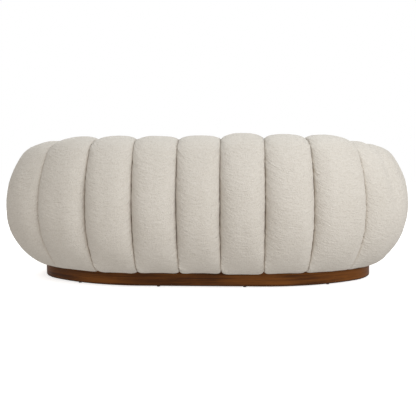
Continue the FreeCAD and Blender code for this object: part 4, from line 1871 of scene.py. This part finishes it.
@dataclass
class CushionZip:
    """The zip in the back of the cushion's boxing: tape, closed teeth and slider."""

    finishes: dict[str, bpy.types.Material]
    tape_share: float = 0.60
    tooth_start: float = 0.59
    tooth_share: float = 0.40
    tooth_pitch: float = 0.0030
    tooth: Pair = (0.0019, 0.0042)
    tooth_stagger: float = 0.0006
    pull_length: float = 0.016
    slider_share: float = 0.62
    waist: Triple = (0.22, -0.2, 0.35)
    bridge: Triple = (0.0030, 0.0011, 0.0062)
    pull_bar: Pair = (0.00075, 0.00048)
    pull_half_width: float = 0.0023
    pull_power: float = 2 / 2.8

    def build(self) -> None:
        """Makes the zip's tape, its teeth and its slider."""
        low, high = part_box("zip_tape")
        length, deep, tall = high.x - low.x, high.y - low.y, high.z - low.z
        middle = (low.z + high.z) / 2
        cloth_deep = self.tape_share * deep
        tape = rounded_block("zip_tape_cloth", Vector((0.0, low.y + cloth_deep / 2, middle)),
                             (length, cloth_deep, tall), 0.10, 48)
        wide, high_tooth = (size / 2 for size in self.tooth)
        count = int(length / self.tooth_pitch) - 3
        corners = np.array([(x, y, z) for x in (-wide, wide)
                            for y in (0.0, self.tooth_share * deep)
                            for z in (-high_tooth, high_tooth)])
        corners += (0.0, low.y + self.tooth_start * deep, middle)
        number = np.arange(count)
        places = np.zeros((count, 1, 3))
        places[:, 0, 0] = (number - (count - 1) / 2) * self.tooth_pitch
        places[:, 0, 2] = np.where(number % 2, self.tooth_stagger, -self.tooth_stagger)
        box_faces = np.array([(0, 1, 3, 2), (4, 6, 7, 5), (0, 4, 5, 1), (2, 3, 7, 6),
                              (0, 2, 6, 4), (1, 5, 7, 3)])
        faces = (box_faces[None] + 8 * number[:, None, None]).reshape(-1, 4)
        teeth = mesh_piece("zip_teeth", (corners[None] + places).reshape(-1, 3), faces)
        teeth.data.shade_flat()
        settle(tape, self.finishes["zip_tape"], "cushion", "zip_tape")
        settle(teeth, self.finishes["zip_metal"], "cushion", "zip_tape")
        self.build_slider()

    def build_slider(self) -> None:
        """Makes the slider: a waisted body, a bridge and a pull with a window in it."""
        low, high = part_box("zip_slider")
        body_foot = low.z + self.pull_length
        centre = Vector(((low.x + high.x) / 2, (low.y + high.y) / 2, (body_foot + high.z) / 2))
        deep = high.y - low.y
        size = (high.x - low.x, self.slider_share * deep, high.z - body_foot)
        inwards = Vector((0.0, (1.0 - self.slider_share) / 2 * deep, 0.0))
        body = rounded_block("zip_slider_body", centre - inwards, size, 0.45, 40)
        points = point_array(body)
        share = (points[:, 0] - centre.x) / (size[0] / 2)
        depth, place, width = self.waist
        waist = 1 - depth * np.exp(-((share - place) / width) ** 2)
        points[:, 2] = centre.z + (points[:, 2] - centre.z) * waist
        set_points(body, points)
        bridge = rounded_block("zip_slider_bridge",
                               Vector((centre.x, high.y - 0.0006, centre.z - 0.0005)),
                               self.bridge, 0.5, 24)
        pull = self.pull_ring(centre.x, high.y - 0.0011, low.z, centre.z)
        for piece in (body, bridge, pull):
            settle(piece, self.finishes["zip_metal"], "zip_slider", "zip_slider")

    def pull_ring(self, x: float, y: float, foot: float, top: float) -> bpy.types.Object:
        """The pull: a flat rounded bar carried round a long oval.

        Args:
            x: its middle along the zip.
            y: its middle outwards from the tape.
            foot: its lowest height.
            top: its highest height.

        Returns:
            The piece.
        """
        turn = np.linspace(0.0, 2 * math.pi, 64, endpoint=False)[:, None]
        around = np.linspace(0.0, 2 * math.pi, 16, endpoint=False)[None, :]
        bar, thick = self.pull_bar
        half_wide, half_tall = self.pull_half_width - bar, (top - foot) / 2 - bar
        wide = signed_power(np.cos(turn), self.pull_power)
        tall = signed_power(np.sin(turn), self.pull_power)
        grow = bar * np.cos(around)
        points = np.stack([x + wide * half_wide + np.cos(turn) * grow,
                           y + thick * np.sin(around) + 0.0 * turn,
                           (foot + top) / 2 + tall * half_tall + np.sin(turn) * grow], axis=2)
        rows, columns = points.shape[:2]
        index = grid_faces(rows + 1, columns, True) % (rows * columns)
        return mesh_piece("zip_slider_pull", points.reshape(-1, 3), index)


@dataclass(frozen=True)
class Studio:
    """Pale floor, soft lights and the camera where the photographer's was."""

    place: Triple = (-0.1998, 2.5835, 0.599)
    yaw: float = 0.0432
    pitch: float = 0.0708
    roll: float = -0.0041
    lens: float = 40.23
    shift: Pair = (-0.0333, -0.0247)
    clip: Pair = (0.05, 60.0)
    floor_rings: tuple[float, ...] = (0.0005, 1.5, 4.0, 14.0)
    floor_points: int = 96
    paper: tuple[Colour, ...] = ((0.90, 0.90, 0.90), (0.93, 0.93, 0.93))
    paper_grain: float = 400.0
    aim_height: float = 0.35
    world_tint: Colour = (1.0, 0.98, 0.95)
    world_strength: float = 0.575
    floor_glow: float = 0.62
    lamps: tuple[tuple[str, tuple, float, float, tuple], ...] = (
        ("key", (-3.0, 3.3, 2.3), 2.6, 101.0, (0.90, 0.952, 1.0)),
        ("fill", (-0.5, 4.6, 0.5), 3.0, 42.0, (0.98, 0.985, 1.0)),
        ("top", (0.0, -0.2, 3.6), 3.0, 39.0, (0.78, 0.90, 1.0)),
        ("front", (1.6, -3.8, 2.4), 3.0, 60.0, (1.0, 0.99, 0.97)))

    def camera(self) -> None:
        """Sets the camera: it looks along -Y, a little down and a little across."""
        data = bpy.data.cameras.new("photo_camera")
        data.sensor_width, data.lens = SENSOR_WIDTH, self.lens
        data.shift_x, data.shift_y = self.shift
        data.clip_start, data.clip_end = self.clip
        ahead = Vector((math.cos(self.pitch) * math.sin(self.yaw),
                        -math.cos(self.pitch) * math.cos(self.yaw), -math.sin(self.pitch)))
        turn = ahead.to_track_quat("-Z", "Y").to_matrix() @ Matrix.Rotation(self.roll, 3, "Z")
        camera = bpy.data.objects.new("photo_camera", data)
        camera.matrix_world = Matrix.Translation(self.place) @ turn.to_4x4()
        bpy.context.scene.collection.objects.link(camera)
        bpy.context.scene.camera = camera

    def lamp(self, name: str, place: Triple, size: float, power: float, tint: Colour) -> None:
        """Adds a square soft light that faces the middle of the sofa.

        Args:
            name: the light's name.
            place: where it stands.
            size: length of its side.
            power: its power in watts.
            tint: its colour.
        """
        data = bpy.data.lights.new(name, "AREA")
        data.size, data.energy, data.color = size, power, tint
        light = bpy.data.objects.new(name, data)
        aim = Vector((0.0, 0.0, self.aim_height)) - Vector(place)
        turn = aim.to_track_quat("-Z", "Y").to_matrix().to_4x4()
        light.matrix_world = Matrix.Translation(place) @ turn
        bpy.context.scene.collection.objects.link(light)

    def floor(self) -> None:
        """Lays the floor: a wide disc of pale seamless paper."""
        turn = np.linspace(0.0, 2 * math.pi, self.floor_points, endpoint=False)[:, None]
        reach = np.array([self.floor_rings])
        points = np.stack([reach * np.cos(turn), reach * np.sin(turn), 0.0 * reach * turn], axis=2)
        index = np.arange(points.size // 3).reshape(points.shape[:2])
        index = np.concatenate([index, index[:1]])
        corners = (index[:-1, :-1], index[:-1, 1:], index[1:, 1:], index[1:, :-1])
        quads = np.stack(corners, axis=-1).reshape(-1, 4).tolist()
        mesh = bpy.data.meshes.new("studio_floor")
        mesh.from_pydata(points.reshape(-1, 3).tolist(), [], [*quads, index[:-1, 0].tolist()])
        floor = bpy.data.objects.new("studio_floor", mesh)
        bpy.context.scene.collection.objects.link(floor)
        shader = Shader("studio_paper")
        grain = shader.noise(shader.places(), self.paper_grain)
        colour = shader.blend(grain, *self.paper)
        shader.surface.inputs["Emission Color"].default_value = (1.0, 1.0, 1.0, 1.0)
        mesh.materials.append(shader.finish(colour, 0.85, None, Specular_IOR_Level=0.1,
                                            Emission_Strength=self.floor_glow))
        floor.visible_diffuse = False
        floor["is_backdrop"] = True

    def world(self) -> None:
        """Lights the room evenly, and leaves it white behind the sofa."""
        world = bpy.data.worlds.new("studio")
        world.use_nodes = True
        tree = world.node_tree
        soft = tree.nodes["Background"]
        soft.inputs["Color"].default_value = (*self.world_tint, 1.0)
        soft.inputs["Strength"].default_value = self.world_strength
        white = tree.nodes.new("ShaderNodeBackground")
        white.inputs["Color"].default_value = (1.0, 1.0, 1.0, 1.0)
        seen = tree.nodes.new("ShaderNodeLightPath")
        both = tree.nodes.new("ShaderNodeMixShader")
        tree.links.new(seen.outputs["Is Camera Ray"], both.inputs[0])
        tree.links.new(soft.outputs[0], both.inputs[1])
        tree.links.new(white.outputs[0], both.inputs[2])
        tree.links.new(both.outputs[0], tree.nodes["World Output"].inputs["Surface"])
        bpy.context.scene.world = world

    def build(self) -> None:
        """Sets the camera, the lights and the floor."""
        self.camera()
        for lamp in self.lamps:
            self.lamp(*lamp)
        self.floor()
        self.world()
        bpy.context.scene.view_settings.view_transform = "Standard"


def cad_finishes() -> dict[str, bpy.types.Material]:
    """A material for each of the record's slots that CAD nodes and small pieces have.

    Returns:
        The materials by slot.
    """
    return {
        "frame_timber": PlainTimber((0.56, 0.38, 0.20), (0.40, 0.24, 0.11)).material("softwood"),
        "plywood": PlainTimber((0.62, 0.46, 0.27), (0.47, 0.31, 0.16),
                               stretch=(5.0, 30.0, 260.0)).material("birch_plywood"),
        "lining_board": PlainTimber((0.50, 0.35, 0.20), (0.38, 0.25, 0.13),
                                    stretch=(40.0, 40.0, 6.0)).material("bending_board"),
        "zinc_steel": Metal((0.62, 0.62, 0.60), (0.45, 0.46, 0.46)).material("zinc_plate"),
        "spring_steel": Metal((0.20, 0.20, 0.21), (0.11, 0.11, 0.12),
                              rough=0.42).material("oiled_wire"),
        "glide_plastic": MouldedPlastic().material("glide_plastic"),
        "deck_cloth": PlainCloth((0.030, 0.030, 0.032),
                                 (0.012, 0.012, 0.013)).material("black_deck_cloth"),
        "deck_pad": PlainCloth((0.66, 0.64, 0.58), (0.48, 0.46, 0.41), threads_per_metre=260.0,
                               depth=0.0012).material("needled_felt"),
        "zip_tape": PlainCloth((0.66, 0.60, 0.52), (0.50, 0.45, 0.38), threads_per_metre=1800.0,
                               depth=0.0002).material("zip_tape_weave"),
        "zip_metal": Metal((0.52, 0.51, 0.50), (0.36, 0.35, 0.34), rough=0.3).material("zip_metal"),
    }


def dress_cad_nodes(finishes: dict[str, bpy.types.Material]) -> None:
    """Gives each CAD node that keeps its shape the material of its slot.

    Args:
        finishes: materials by slot.
    """
    for row in frame["record"]["subparts"]:
        finish = finishes.get(row["material_slot"])
        if finish is not None:
            for place in frame["nodes"][row["node"]].material_slots:
                place.material = finish


def main() -> None:
    """Builds the sofa's visible pieces, dresses the CAD nodes and sets the scene."""
    logging.basicConfig(level=logging.INFO, format="%(name)s: %(message)s")
    cad_box = tuple(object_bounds())
    rear_low, rear_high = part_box("plinth_wall_rear")
    front_low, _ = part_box("plinth_wall_front")
    plan = OvalPlan(rear_high.x, (rear_high.y - front_low.y) / 2, (rear_high.y + front_low.y) / 2)
    wool = LoopedWool().material("looped_wool")
    finishes = cad_finishes()
    Studio().build()
    dress_cad_nodes(finishes)
    seat = DeckAndCushion(plan, wool, finishes)
    seat.build_cushion()
    seat.build_deck()
    CushionZip(finishes).build()
    Upholstery(plan, ChannelShape(float(cad_box[1][2])), CrossFall(), ClothRelief(), wool).build()
    PlinthWalls(plan, StainedTimber().material("stained_timber"), rear_low.z, rear_high.z).build()


if __name__ == "__main__":
    main()
